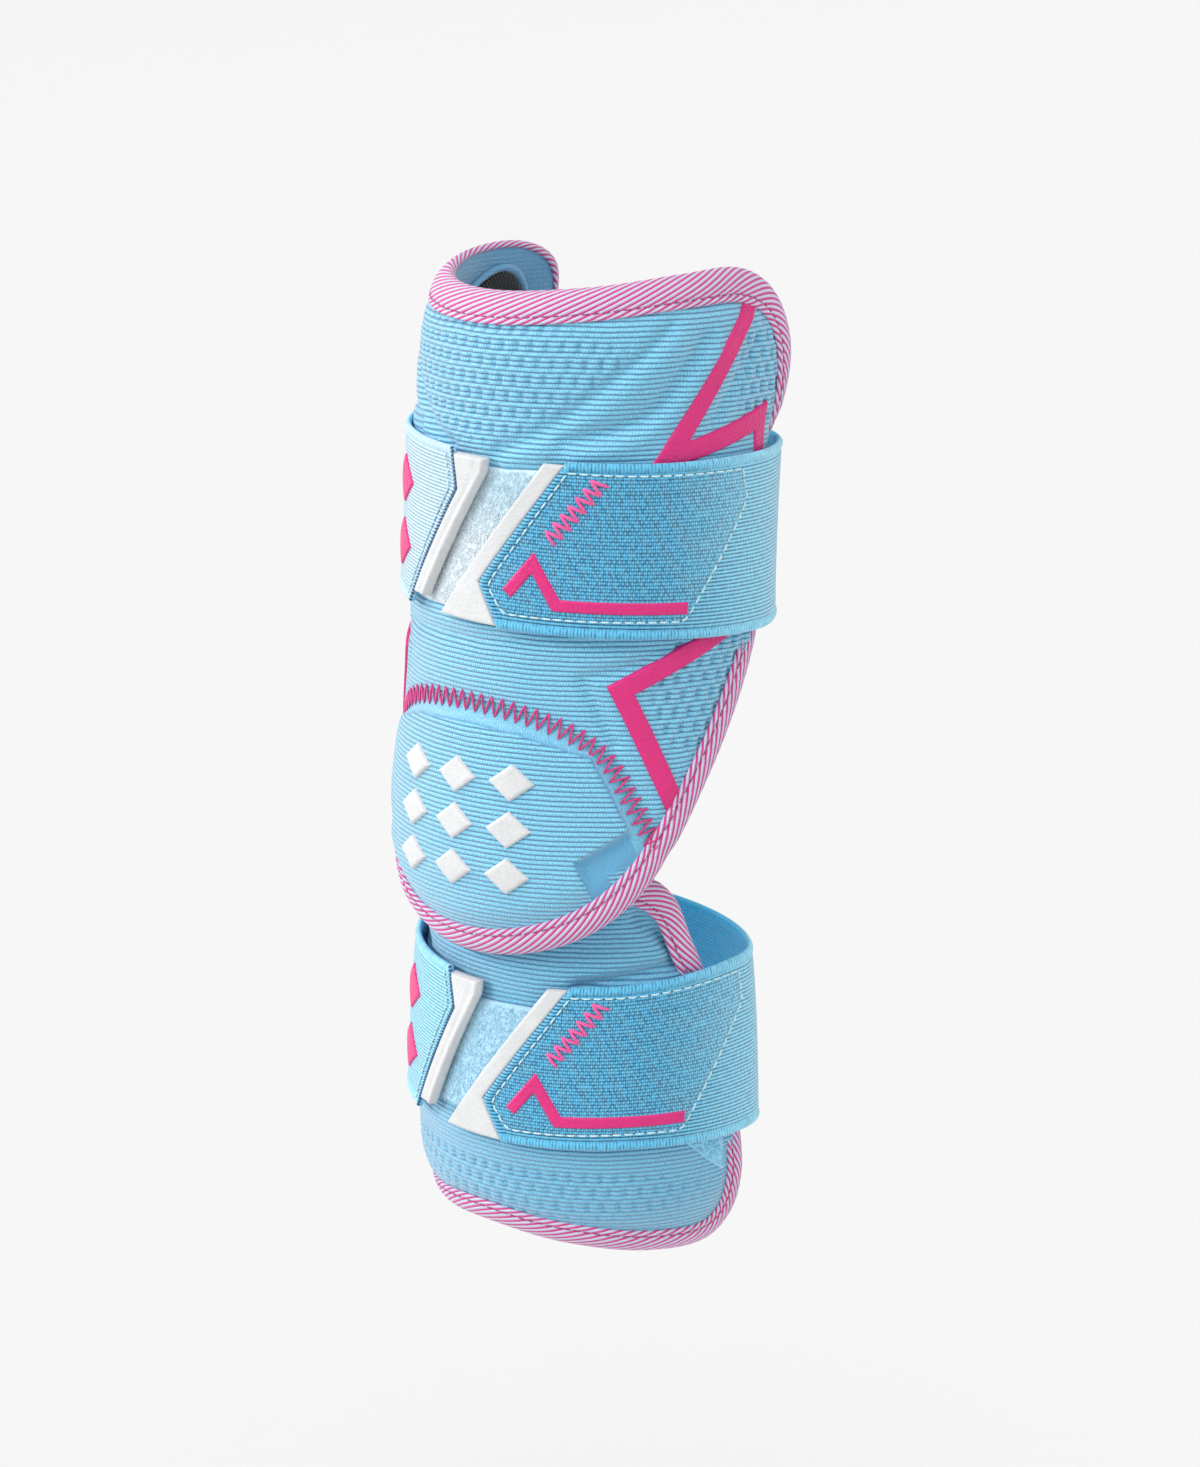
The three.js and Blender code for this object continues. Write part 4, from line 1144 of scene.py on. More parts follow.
def rubber_finish(name, colour, roughness, depth):
    """Moulded rubber: rounded pebbles from cell distances, a fine grain, and slight colour drift."""
    finish = Finish(name, colour, roughness, gloss=0.4)
    vector = finish.place()
    cell = finish.add("TexVoronoi", {"Vector": vector, "Scale": 1350.0}, feature="SMOOTH_F1")
    pebble = finish.rest(cell)
    height = finish.scaled(finish.noise(vector, scale=3200.0), 0.3, pebble)
    drift = finish.noise(vector, scale=160.0, detail=3.0)
    share = finish.weigh(pebble, 0.35, drift, 0.65)
    return finish.close(finish.toned(share, colour, 0.84, 1.14), height, depth)


def thread_finish(name, colour):
    """Sewing thread: twisted plies from a fine wave with noise in it, and a soft sheen."""
    finish = Finish(name, colour, roughness=0.55, sheen=0.3)
    twist = {"Vector": finish.place(), "Scale": 700.0, "Distortion": 3.0, "Detail": 1.0}
    ply = finish.add("TexWave", twist, output="Fac")
    return finish.close(finish.toned(ply, colour, 0.78, 1.15), ply, 0.06 * MM)


def liner_finish(pads):
    """Dark liner mesh: small open holes from the product of two sines."""
    finish = Finish("liner mesh", pads.liner_colour, roughness=0.9, sheen=0.2)
    u, v, _ = finish.cloth()
    holes = finish.times(finish.wave(u, LINER_HOLE_PITCH), finish.wave(v, LINER_HOLE_PITCH))
    share = finish.share(holes, -0.6, 0.5)
    return finish.close(finish.toned(share, pads.liner_colour, 0.4, 2.2), share, 0.3 * MM)


def floor_finish(stage):
    """Pale paper floor: a faint grain in its colour and height."""
    finish = Finish("pale floor", stage.floor_colour, roughness=0.95, gloss=0.05)
    grain = finish.noise(finish.place(), scale=90.0, detail=4.0)
    return finish.close(finish.toned(grain, stage.floor_colour, 0.995, 1.005), grain, 0.02 * MM)


FINISHES = {}


def kept(make, *settings):
    """The finish made by a function, made once and shared by its pieces."""
    key = "|".join([make.__name__] + [str(value) for value in settings if isinstance(value, str)])
    if key not in FINISHES:
        FINISHES[key] = make(*settings)
    return FINISHES[key]


def white_rubber(trim):
    return kept(rubber_finish, "white rubber", trim.white_colour, WHITE_ROUGHNESS, WHITE_PEBBLE)


def pink_rubber(trim):
    return kept(rubber_finish, "pink rubber", trim.pink_colour, PINK_ROUGHNESS, PINK_PEBBLE)


def a_length(name, description, millimetres):
    """A setting that is a length."""
    return FloatProperty(
        name=name, description=description, default=millimetres * MM, unit="LENGTH", precision=5
    )


def a_colour(name, description, *screen):
    """A setting that is a colour, with its default as a screen colour from 0 to 255."""
    return FloatVectorProperty(
        name=name, description=description, default=linear(*screen), subtype="COLOR", min=0, max=1
    )


def a_strength(name, description, default):
    """A setting that is a light's strength."""
    return FloatProperty(name=name, description=description, default=default, min=0)


class GuardPadSettings(bpy.types.PropertyGroup):
    rib_pitch: a_length("Rib pitch", "Distance from rib to rib of the knit", 1.3)
    rib_depth: a_length("Rib depth", "Height of a rib of the knit", 0.36)
    stitch_pitch: a_length("Stitch pitch", "Distance from stitch to stitch along a rib", 0.75)
    dent_depth: a_length("Dent depth", "Depth of the moulded waffle dents", 0.7)
    dent_pitch: a_length("Dent pitch", "Distance from dent to dent of the waffle", 4.2)
    dent_row: a_length("Dent row", "Distance from row to row of the waffle", 4.3)
    knit_colour: a_colour("Knit colour", "Colour of the ribs", 112, 199, 241)
    # The groove colour is painted shade between the ribs
    groove_shade_colour: a_colour("Groove colour", "Colour between the ribs", 28, 118, 178)
    # The deep colour is also painted shade over the lower pad
    deep_colour: a_colour("Deep colour", "Colour of the lining and pressed corners", 62, 154, 202)
    liner_colour: a_colour("Liner colour", "Colour of the inner liner", 27, 28, 31)
    seam_colour: a_colour("Seam thread", "Colour of the zigzag over the cap", 214, 58, 132)


class GuardTapeSettings(bpy.types.PropertyGroup):
    width: a_length("Tape width", "Tape on each face of a pad", 8.2)
    stripe_pitch: a_length("Stripe pitch", "Distance from stripe to stripe along the tape", 3.45)
    slant: FloatProperty(
        name="Slant",
        description="Run along the tape of a stripe for each length across it",
        default=2.2,
        subtype="FACTOR",
    )
    stripe_colour: a_colour("Stripe colour", "Colour of the bias stripes", 223, 70, 147)
    ground_colour: a_colour("Ground colour", "Colour between the stripes", 218, 219, 247)
    thread_colour: a_colour("Tape thread", "Colour of the tape's stitches", 170, 66, 128)


class GuardStrapSettings(bpy.types.PropertyGroup):
    row_pitch: a_length("Row pitch", "Distance from row to row of the elastic", 0.93)
    column_pitch: a_length("Column pitch", "Distance from thread to thread along a row", 0.56)
    elastic_colour: a_colour("Elastic colour", "Colour of the woven elastic", 72, 154, 196)
    # The raised colour carries a painted highlight, and the gap colour painted shade between the threads
    lit_thread_colour: a_colour("Raised colour", "Colour of the elastic's raised threads", 92, 194, 236)
    shaded_gap_colour: a_colour("Gap colour", "Colour between the elastic's threads", 10, 72, 110)
    # Painted light: the paler colour of the upper strap's left end
    lit_end_colour: a_colour("Left end colour", "Colour of the ribbed left end", 178, 210, 230)
    # Painted light: the lighter colour past the panel, round the back and at the left end
    lit_back_colour: a_colour("Back colour", "Colour of the straps round the back", 140, 208, 255)
    # Painted light: the inner face's colour is brightened where it lies in shade
    lit_inside_colour: a_colour("Inside colour", "Colour of the straps' inner face", 32, 186, 238)
    pile_colour: a_colour("Pile colour", "Colour of the loop patches", 229, 242, 255)
    # Painted shade: the deep pile colour darkens the patches
    shaded_pile_colour: a_colour("Deep pile colour", "Colour of the pile where it is deepest", 142, 212, 250)
    thread_colour: a_colour("Strap thread", "Colour of the straps' dashed stitches", 206, 238, 248)
    tack_colour: a_colour("Tack thread", "Colour of the bar tacks", 240, 96, 166)
    serge_colour: a_colour("Serged edge", "Colour of the thread over the left ends' edges", 34, 96, 140)


class GuardTrimSettings(bpy.types.PropertyGroup):
    white_colour: a_colour("White rubber", "Colour of the tabs and cap diamonds", 212, 213, 214)
    pink_colour: a_colour("Pink rubber", "Colour of the flashes and strap trim", 216, 40, 122)
    bevel: a_length("Trim bevel", "Width of the rounded edge of the rubber trim", 0.6)


class GuardStageSettings(bpy.types.PropertyGroup):
    floor_colour: a_colour("Floor colour", "Colour of the pale floor", 226, 226, 226)
    azimuth: FloatProperty(
        name="Azimuth",
        description="Camera's turn to the right of the front",
        default=math.radians(42),
        subtype="ANGLE",
    )
    elevation: FloatProperty(
        name="Elevation",
        description="Camera's angle above the horizon",
        default=math.radians(14.5),
        subtype="ANGLE",
    )
    distance: FloatProperty(
        name="Distance", description="Camera's distance from the guard", default=0.9, unit="LENGTH"
    )
    lens: FloatProperty(
        name="Lens", description="Focal length for a frame 36 mm high", default=80.0, unit="CAMERA"
    )
    key_strength: a_strength("Key light", "Strength of the light from the front left", 1.6)
    side_strength: a_strength("Side light", "Strength of the light that grazes the left side", 1.1)
    top_strength: a_strength("Top light", "Strength of the light from above", 1.0)
    fill_strength: a_strength("Fill light", "Strength of the light from the right", 0.5)
    sky_strength: a_strength("Sky light", "Strength of the even light all round", 0.47)


SETTINGS = {
    "guard_pads": GuardPadSettings,
    "guard_tape": GuardTapeSettings,
    "guard_straps": GuardStrapSettings,
    "guard_trim": GuardTrimSettings,
    "guard_stage": GuardStageSettings,
}


# The lining's masks, and the painted shade that deepens the lower pad's colour
LINING = [("smooth", 0.65), ("deep", 1.0), ("dent", 0.0)]
LOWER_PAINTED_SHADE = 0.45

# Columns and rows of each grid of cloth, and stations and sides of the liner's lip
BODY_GRID = 300, 164
CAP_GRID = 170, 90
LOWER_GRID = 260, 150
LINER_GRID = 120, 70
STRAP_MIDDLE_ROWS, STRAP_FRONT_COLUMNS, STRAP_BACK_COLUMNS = 34, 84, 120
LIP_STATIONS, LIP_SIDES = 440, 12


def edge_grid(line, count, foot, top, columns, rows):
    """Grid inside a closed edge of that many points, from its foot, its head and its two sides: foot
    and top are the numbers of its right corners."""
    return coons(
        line(count - foot, foot, columns),
        line(count - top, count + top, columns),
        line(count - foot, count - top, rows),
        line(foot, top, rows),
    )


def pad_piece(name, node, pad, grid, relief, finish, **outside):
    """A pad's padded piece over a grid of places: outer face with its relief, smooth deep inner face,
    wall. Each mask named is given for the outer face."""
    outer = pad.over(grid, relief)
    inner = pad.under(grid, np.zeros(grid.shape[:2]))
    points, faces = slab(outer, inner)
    masks = {}
    for key, lining in LINING:
        shown = outside.get(key, np.zeros(grid.shape[:2])).ravel()
        masks[key] = np.concatenate([shown, np.full(shown.size, lining)])
    cloth = np.tile(grid.reshape(-1, 2), (2, 1))
    return add_piece(name, points, faces, finish, node, cloth, masks=masks)


class GUARD_OT_pads(bpy.types.Operator):
    """Adds the upper pad, the elbow cap and the lower pad, each a foam form under ribbed knit"""

    bl_idname = "guard.pads"
    bl_label = "Pads"

    def execute(self, context):
        pads = context.scene.guard_pads
        finish = kept(knit_finish, pads)
        count = len(UPPER.edge)
        columns, rows = BODY_GRID
        body = coons(
            seam_curve(columns) + SEAM_GAP,
            UPPER.edge_line(count - UPPER_TOP_CORNER, count + UPPER_TOP_CORNER, columns),
            UPPER.edge_line(count - SEAM_END, count - UPPER_TOP_CORNER, rows),
            UPPER.edge_line(SEAM_END, UPPER_TOP_CORNER, rows),
        )
        dent = body_waffle(body) * dents(body, pads.dent_pitch, pads.dent_row)
        relief = body_relief(body) - pads.dent_depth * dent
        pad_piece("upper_pad", "upper_body", UPPER, body, relief, finish, dent=dent)
        columns, rows = CAP_GRID
        cap = coons(
            UPPER.edge_line(count - CAP_FOOT_CORNER, CAP_FOOT_CORNER, columns),
            seam_curve(columns) - SEAM_GAP,
            UPPER.edge_line(count - CAP_FOOT_CORNER, count - SEAM_END, rows),
            UPPER.edge_line(CAP_FOOT_CORNER, SEAM_END, rows),
        )
        pressed = cap_pressed(cap)
        smooth = np.maximum(cap_border(cap), pressed)
        pad_piece("cap_pad", "elbow_cap", UPPER, cap, cap_relief(cap), finish, smooth=smooth, deep=pressed)
        lower = edge_grid(LOWER.edge_line, len(LOWER.edge), LOWER_FOOT_CORNER, LOWER_TOP_CORNER, *LOWER_GRID)
        dent = lower_waffle(lower) * dents(lower, pads.dent_pitch, pads.dent_row)
        relief = lower_relief(lower) - pads.dent_depth * dent
        # Painted shade: the lower pad's outer face is a shade deeper all over
        deep = np.full(dent.shape, LOWER_PAINTED_SHADE)
        pad_piece("lower_pad", "lower_body", LOWER, lower, relief, finish, dent=dent, deep=deep)
        return {"FINISHED"}


def tape_profile(width):
    """The folded tape's two margins as depth from the edge and height over a face. The outer one has
    a flat sewn margin, a groove under the stitches and a puffed roll; the inner one is narrow."""
    margin = [(0, 0), (0.15, 0.45), (0.7, 0.7), (1.4, 0.62), (2.0, 0.34), (2.7, 0.72), (3.8, 1.05)]
    roll = [(3.2, 1.15), (1.9, 1.0), (0.9, 0.6), (0.25, -0.05)]
    outer = np.concatenate([[width, 0] + chain(*margin) * [-1, 1], chain(*roll)])
    return outer, chain((1.7, 0), (1.6, 0.35), (1.1, 0.6), (0.6, 0.45), (0.2, -0.05))


def tape_loops(pad, t, width):
    """Loops of the tape's section, one per station: the outer margin on the outer face, puckered by a
    sine from station to station, the rounded nose past the edge, the inner margin on the inner face,
    and a return inside the foam."""
    outer, inner = tape_profile(width)
    spots = [inset(pad.edge, *np.broadcast_arrays(t[:, None], half[:, 0])) for half in (outer, inner)]
    pucker = PUCKER * np.sin(2 * math.pi * np.arange(len(t)) / PUCKER_STATIONS)[:, None]
    height = outer[:, 1] + pucker * bell(outer[:, 0] - width + PUCKER_INSET, PUCKER_WIDTH)
    over = pad.over(spots[0], height)
    under = pad.under(spots[1], inner[:, 1])
    edge = loop_at(pad.edge, t)
    middle = (pad.outer_lift(edge) + pad.inner_lift(edge)) / 2

    def halfway(depth):
        places = inset(pad.edge, t, np.full(t.shape, depth))
        return place(pad.sections, places[:, 0], places[:, 1], middle)[:, None]

    return np.concatenate([over, halfway(-TAPE_NOSE), under[:, ::-1], halfway(TAPE_RETURN)], axis=1)


def dense_stations(pad):
    """Close places along a pad's edge, counted in its points."""
    return np.linspace(0, len(pad.edge), TAPE_STATIONS * len(pad.edge))


class GUARD_OT_tapes(bpy.types.Operator):
    """Adds the striped tape folded over each pad's edge"""

    bl_idname = "guard.tapes"
    bl_label = "Edge tapes"

    def execute(self, context):
        tape = context.scene.guard_tape
        for name, pad in PADS.items():
            dense = dense_stations(pad)
            run = along(loop_at(pad.edge, dense))
            count = round(run[-1] / TAPE_STATION)
            steps = np.arange(count) * run[-1] / count
            loops = tape_loops(pad, np.interp(steps, run, dense), tape.width)
            points, faces = ring(loops)
            across = np.linalg.norm(np.diff(loops, axis=1), axis=2).mean(0)
            across = np.concatenate([[0], np.cumsum(across)])
            cloth = np.stack(np.broadcast_arrays(steps[:, None], across[None, :]), -1).reshape(-1, 2)
            finish = tape_finish(tape, run[-1] / round(run[-1] / tape.stripe_pitch))
            node = name + "_binding"
            piece = add_piece(name + "_tape", points, faces, finish, node, cloth, length=run[-1])
        return {"FINISHED"}


class GUARD_OT_liner(bpy.types.Operator):
    """Adds the dark liner inside the upper pad"""

    bl_idname = "guard.liner"
    bl_label = "Liner"

    def execute(self, context):
        pads = context.scene.guard_pads
        loop = close_loop(LINER_EDGE)
        count = len(loop)
        close = lambda start, stop: loop_at(loop, np.linspace(start, stop, SIDE_STATIONS))
        line = lambda start, stop, size: evenly(close(start, stop), size)
        grid = edge_grid(line, count, LINER_FOOT_CORNER, LINER_TOP_CORNER, *LINER_GRID)
        rim = np.concatenate([grid[0], grid[1:, -1], grid[-1, -2::-1], grid[-2::-1, 0]])
        nearness = 1 - np.clip(distance_to(rim, grid) / LINER_TAPER, 0, 1)
        thick = LINER_RIM + (LINER_THICKNESS - LINER_RIM) * np.sqrt(1 - nearness**2)
        laid = UPPER.under(grid, np.full(grid.shape[:2], LINER_GAP))
        points, faces = slab(laid, UPPER.under(grid, LINER_GAP + thick))
        cloth = np.tile(grid.reshape(-1, 2), (2, 1))
        finish = kept(liner_finish, pads)
        piece = add_piece("liner", points, faces, finish, "upper_liner", cloth)
        self.lip(line(0, count, LIP_STATIONS + 1)[:-1], kept(knit_finish, pads))
        return {"FINISHED"}

    def lip(self, rim, finish):
        """Rolled lip of lining round the liner: an oval section carried along its edge, with its middle out
        from the edge and in from the lining by shares of its half sizes."""
        turn = np.linspace(0, 2 * math.pi, LIP_SIDES, endpoint=False)
        outside = unit(np.roll(rim, -1, axis=0) - np.roll(rim, 1, axis=0))[:, ::-1] * [-1, 1]
        spots = rim[:, None] + LIP_WIDTH * (LIP_OUT + np.cos(turn))[:, None] * outside[:, None]
        rise = np.broadcast_to(LIP_HEIGHT * (LIP_UP + np.sin(turn)), spots.shape[:2])
        points, faces = ring(UPPER.under(spots, rise))
        cloth = spots.reshape(-1, 2)
        masks = {key: np.full(len(points), share) for key, share in LINING}
        add_piece("liner_lip", points, faces, finish, cloth=cloth, masks=masks)


class GUARD_OT_flashes(bpy.types.Operator):
    """Adds the pink rubber flash on each side of the upper pad"""

    bl_idname = "guard.flashes"
    bl_label = "Side flashes"

    def execute(self, context):
        trim = context.scene.guard_trim
        finish = pink_rubber(trim)
        on_pad = lambda places, n: UPPER.over(places, n + FLASH_RELIEF_SHARE * body_relief(places))
        under_tape = lambda places: 1 - ramp(distance_to(UPPER.rim, places), *FLASH_TUCK_REACH)
        tuck = lambda places: -FLASH_TUCK * under_tape(places)
        sizes = *FLASH_LAYER, trim.bevel
        for side, sign in (("right", 1), ("left", -1)):
            edges = band(FLASH * [sign, 1], FLASH_WIDTH)
            name, node = side + "_flash", "flash_" + side
            add_plate(name, edges, on_pad, *sizes, finish, "pink_rubber", node, shape=tuck)
        return {"FINISHED"}


class GUARD_OT_cap_diamonds(bpy.types.Operator):
    """Adds the white rubber diamonds on the elbow cap"""

    bl_idname = "guard.cap_diamonds"
    bl_label = "Cap diamonds"

    def execute(self, context):
        trim = context.scene.guard_trim
        finish = white_rubber(trim)
        side = CAP_DIAMONDS_PER_SIDE
        on_cap = lambda places, n: UPPER.over(places, n + cap_relief(places))
        sizes = *CAP_DIAMOND_LAYER, CAP_DIAMOND_BEVEL * trim.bevel
        for number in range(side * side):
            row, column = divmod(number, side)
            offset = np.array([column - (side - 1) / 2, (side - 1) / 2 - row]) * CAP_DIAMOND_PITCH
            edges = diamond(CAP_DIAMOND_MIDDLE + offset, CAP_DIAMOND_HALF)
            name, node = f"white_diamond_{number + 1}", f"cap_diamond_{number + 1}"
            add_plate(name, edges, on_cap, *sizes, finish, "white_rubber", node, step=CAP_DIAMOND_STEP)
        return {"FINISHED"}


def patch_edges(foot, head):
    """A patch's foot and head with matching corners at every corner of either."""
    s = np.unique(np.concatenate([foot[:, 0], head[:, 0]]))
    edges = [np.stack([s, np.interp(s, *edge.T)], -1) for edge in (foot, head)]
    return edges[0], edges[1]


def pile_painted_shade(name, points):
    """Painted shade on the pile: a deeper colour towards the head of the upper patch, and on all of the
    lower one, most of all at its right end."""
    if name == "upper":
        return UPPER_PILE_SHADE * ramp(points[..., 1], *UPPER_PILE_SHADE_REACH)
    return LOWER_PILE_SHADE + LOWER_PILE_MORE_SHADE * ramp(points[..., 0], *LOWER_PILE_SHADE_REACH)


class GUARD_OT_loop_patches(bpy.types.Operator):
    """Adds the loop patches under the straps' ends, with their pile"""

    bl_idname = "guard.loop_patches"
    bl_label = "Loop patches"

    def execute(self, context):
        finish = kept(pile_finish, context.scene.guard_straps)
        for strap in STRAPS:
            pad = PADS[strap.name]
            foot, head = patch_edges(*PATCHES[strap.name])
            sizes = PATCH_BASE, PATCH_HEIGHT, PATCH_BEVEL, PATCH_BEVEL
            points, faces, cloth = plate(foot, head, pad.over, *sizes)
            name, node = strap.name + "_patch", strap.name + "_loop_patch"
            masks = {"deep": pile_painted_shade(strap.name, cloth)}
            piece = add_piece(name, points, faces, finish, node, cloth, masks=masks)
            pile = self.pile(strap, pad, foot, head, finish)
        return {"FINISHED"}

    def pile(self, strap, pad, foot, head, finish):
        """Small arched loops at seeded random places and turns where no strap covers the patch."""
        random = np.random.default_rng(PILE_SEED[strap.name])
        s = random.uniform(foot[0, 0], foot[-1, 0], PILE_TRIES)
        z = random.uniform(foot[:, 1].min(), head[:, 1].max(), s.size)
        inside = (z > np.interp(s, *foot.T) + PILE_INSET) & (z < np.interp(s, *head.T) - PILE_INSET)
        h = z - strap.foot_height(s)
        right_tip = np.interp(h, *RIGHT_TAB_TIP.T)
        open_front = (s > strap.left_tip(h) - PILE_UNDER_TAB) & (s < right_tip + PILE_UNDER_TAB)
        beyond = (h < -PILE_PAST_STRAP) | (h > STRAP_WIDTH + PILE_PAST_STRAP)
        shown = np.stack([s, z], -1)[inside & (open_front | beyond)][:PILE_LOOPS]
        turn = random.uniform(0, 2 * math.pi, len(shown))
        reach = PILE_HALF * random.uniform(*PILE_SPREAD, len(shown))[:, None]
        half = reach * np.stack([np.cos(turn), np.sin(turn)], -1)
        on_patch = lambda places, n: pad.over(places, n + PATCH_HEIGHT)
        points, faces = stitch((shown - half, shown + half), on_patch, PILE_RADIUS, PILE_ARCH, rings=4)
        masks = {"deep": np.repeat(pile_painted_shade(strap.name, shown), len(points) // len(shown))}
        return add_piece(strap.name + "_pile_loops", points, faces, finish, masks=masks)


def hem_profile(distance):
    """Half thickness and top relief of a strap from the distance to its edge: a round edge, a rolled
    hem and a sewn groove beside it."""
    nearness = 1 - np.clip(distance / STRAP_ROUND, 0.03, 1)
    half = STRAP_THICKNESS / 2 * np.sqrt(1 - nearness**2)
    roll = HEM_ROLL * bell(distance - HEM_ROLL_INSET, HEM_ROLL_WIDTH)
    return half, roll - HEM_GROOVE * bell(distance - HEM, HEM_GROOVE_WIDTH)


def strap_rows():
    """Heights across a strap: fine steps over each hem, even steps between."""
    fine, margin = HEM_ROWS * MM, HEM_MARGIN * MM
    middle = np.linspace(margin, STRAP_WIDTH - margin, STRAP_MIDDLE_ROWS)
    return np.concatenate([fine, middle, STRAP_WIDTH - fine[::-1]])


def strap_places(strap, h):
    """Places on the front: from the right end to the side, and from the other side to the left end,
    with fine steps at both ends."""
    even = np.linspace(HEM_MARGIN / FRONT_RUN, 1, STRAP_FRONT_COLUMNS)
    share = np.concatenate([HEM_ROWS / FRONT_RUN, even])
    leave = strap.leave(h)[:, None]
    start, stop = strap.right_end(h)[:, None], strap.left_end(h)[:, None]
    high = np.broadcast_to(h[:, None], (len(h), len(share)))
    right = np.stack([start + (leave - start) * share, high], -1)
    left = np.stack([stop - (leave + stop) * share[::-1], high], -1)
    return right, left


def strap_sheets(strap, h, back, right, left):
    """Outer and inner face of a strap: front, back and lifted left end in one grid each, with the hem's
    profile all round and the doubled panel raised inside a sewn groove."""
    edge = np.minimum(h, STRAP_WIDTH - h)[:, None]
    near = lambda end, part: np.minimum(edge, distance_to(np.stack([end(h), h], -1), part))
    behind_t, behind_h = np.broadcast_arrays(back[None, :], h[:, None])
    middle = np.broadcast_to(edge, behind_t.shape)
    distance = np.concatenate([near(strap.right_end, right), middle, near(strap.left_end, left)], axis=1)
    half, relief = hem_profile(distance)
    inside = depth_in(PANEL, right)
    raised = PANEL_HEIGHT * ramp(inside, *PANEL_SLOPE)
    raised = raised - PANEL_GROOVE * bell(inside, PANEL_GROOVE_WIDTH)
    first = right.shape[1]
    relief[:, :first] += raised
    sheets = []
    for n in (STRAP_THICKNESS / 2 + half + relief, STRAP_THICKNESS / 2 - half):
        front, rear, end = np.split(n, [first, first + len(back)], axis=1)
        parts = [strap.flat(right, front), strap.behind(behind_t, behind_h, rear), strap.lifted(left, end)]
        sheets.append(np.concatenate(parts, axis=1))
    return sheets


def strap_runs(centre, right, left):
    """Run along the strap at each place, and along its middle line: s on the right, and from there on
    the distance along the middle line, spread evenly between the slanted sides."""
    middle, first, last = len(right) // 2, right.shape[1] - 1, -left.shape[1]
    run = along(centre) + right[middle, 0, 0]
    left_u = left[..., 0] + run[-1] - left[middle, -1, 0]
    along_back = (run[first + 1 : last] - run[first]) / (run[last] - run[first])
    back_u = right[:, -1:, 0] + (left_u[:, :1] - right[:, -1:, 0]) * along_back
    return np.concatenate([right[..., 0], back_u, left_u], axis=1), run


def strap_masks(strap, back, right, left):
    """Masks of a strap's two faces: the doubled panel, painted light as lighter cloth past the panel,
    round the back and at the left end, painted light as paler cloth at the left end, and the inner face."""
    behind = np.ones((len(right), len(back)))
    front, end = np.ones(right.shape[:2]), np.ones(left.shape[:2])
    panel = [ramp(depth_in(PANEL, right), *PANEL_COLOUR_SLOPE), 0 * behind, 0 * end]
    # Painted light: lighter cloth past the panel, round the back and at the left end, and paler cloth at the
    # upper strap's left end
    light = [PAINTED_LIGHT_SHARE * ramp(right[..., 0], *PAINTED_LIGHT_REACH), PAINTED_LIGHT_SHARE * behind, PAINTED_LIGHT_SHARE * end]
    pale = [0 * front, 0 * behind, strap.pale * ramp(left[..., 0], *LIT_END_REACH)]
    masks = {}
    for key, parts in (("panel", panel), ("light", light), ("pale", pale)):
        masks[key] = np.tile(np.concatenate(parts, axis=1).ravel(), 2)
    masks["inside"] = np.repeat([0.0, 1.0], masks["panel"].size // 2)
    return masks


class GUARD_OT_straps(bpy.types.Operator):
    """Adds the two elastic straps round the back of the arm"""

    bl_idname = "guard.straps"
    bl_label = "Straps"

    def execute(self, context):
        finish = kept(elastic_finish, context.scene.guard_straps)
        h = strap_rows()
        back = np.linspace(0, 1, STRAP_BACK_COLUMNS + 2)[1:-1]
        for strap in STRAPS:
            right, left = strap_places(strap, h)
            sheets = strap_sheets(strap, h, back, right, left)
            points, faces = slab(*sheets)
            u, run = strap_runs(sheets[0][len(h) // 2], right, left)
            cloth = np.stack(np.broadcast_arrays(u, h[:, None]), -1).reshape(-1, 2)
            cloth, masks = np.tile(cloth, (2, 1)), strap_masks(strap, back, right, left)
            name, node = strap.name + "_elastic", strap.name + "_strap"
            piece = add_piece(name, points, faces, finish, node, cloth, masks=masks)
        return {"FINISHED"}


class GUARD_OT_tabs(bpy.types.Operator):
    """Adds the white rubber tabs on the straps' ends"""

    bl_idname = "guard.tabs"
    bl_label = "Tabs"

    def execute(self, context):
        trim = context.scene.guard_trim
        finish = white_rubber(trim)
        for strap in STRAPS:
            self.right_tab(strap, trim.bevel, finish)
            self.left_tab(strap, trim.bevel, finish)
        return {"FINISHED"}

    def right_tab(self, strap, bevel, finish):
        """Plain tab from its free edge to a little over the strap's right end."""
        h = RIGHT_TAB_ROWS
        tip = np.stack([np.interp(h, *RIGHT_TAB_TIP.T), h], -1)
        end = np.stack([strap.right_end(h) + RIGHT_TAB_LAP, h], -1)
        name, node = strap.name + "_right_tab", strap.name + "_tab_right"
        add_plate(name, (tip, end), strap.flat, *RIGHT_TAB_LAYER, bevel, finish, "white_rubber", node)

    def left_tab(self, strap, bevel, finish):
        """Tab on the lifted left end: along its free edge a lip and then a groove, each a bell on the
        distance from that edge."""
        h = LEFT_TAB_ROWS
        tip = np.stack([strap.left_tip(h), h], -1)
        end = np.stack([strap.left_end(h) - LEFT_TAB_LAP, h], -1)

        def lip(places):
            depth = distance_to(tip, places)
            raised = TAB_LIP * bell(depth - TAB_LIP_INSET, TAB_LIP_WIDTH)
            return raised - TAB_GROOVE * bell(depth - TAB_GROOVE_INSET, TAB_GROOVE_WIDTH)

        name, node = strap.name + "_left_tab", strap.name + "_tab_left"
        sizes = *LEFT_TAB_LAYER, LEFT_TAB_BEVEL * bevel
        options = {"step": FINE_STEP, "shape": lip}
        add_plate(name, (tip, end), strap.lifted, *sizes, finish, "white_rubber", node, **options)


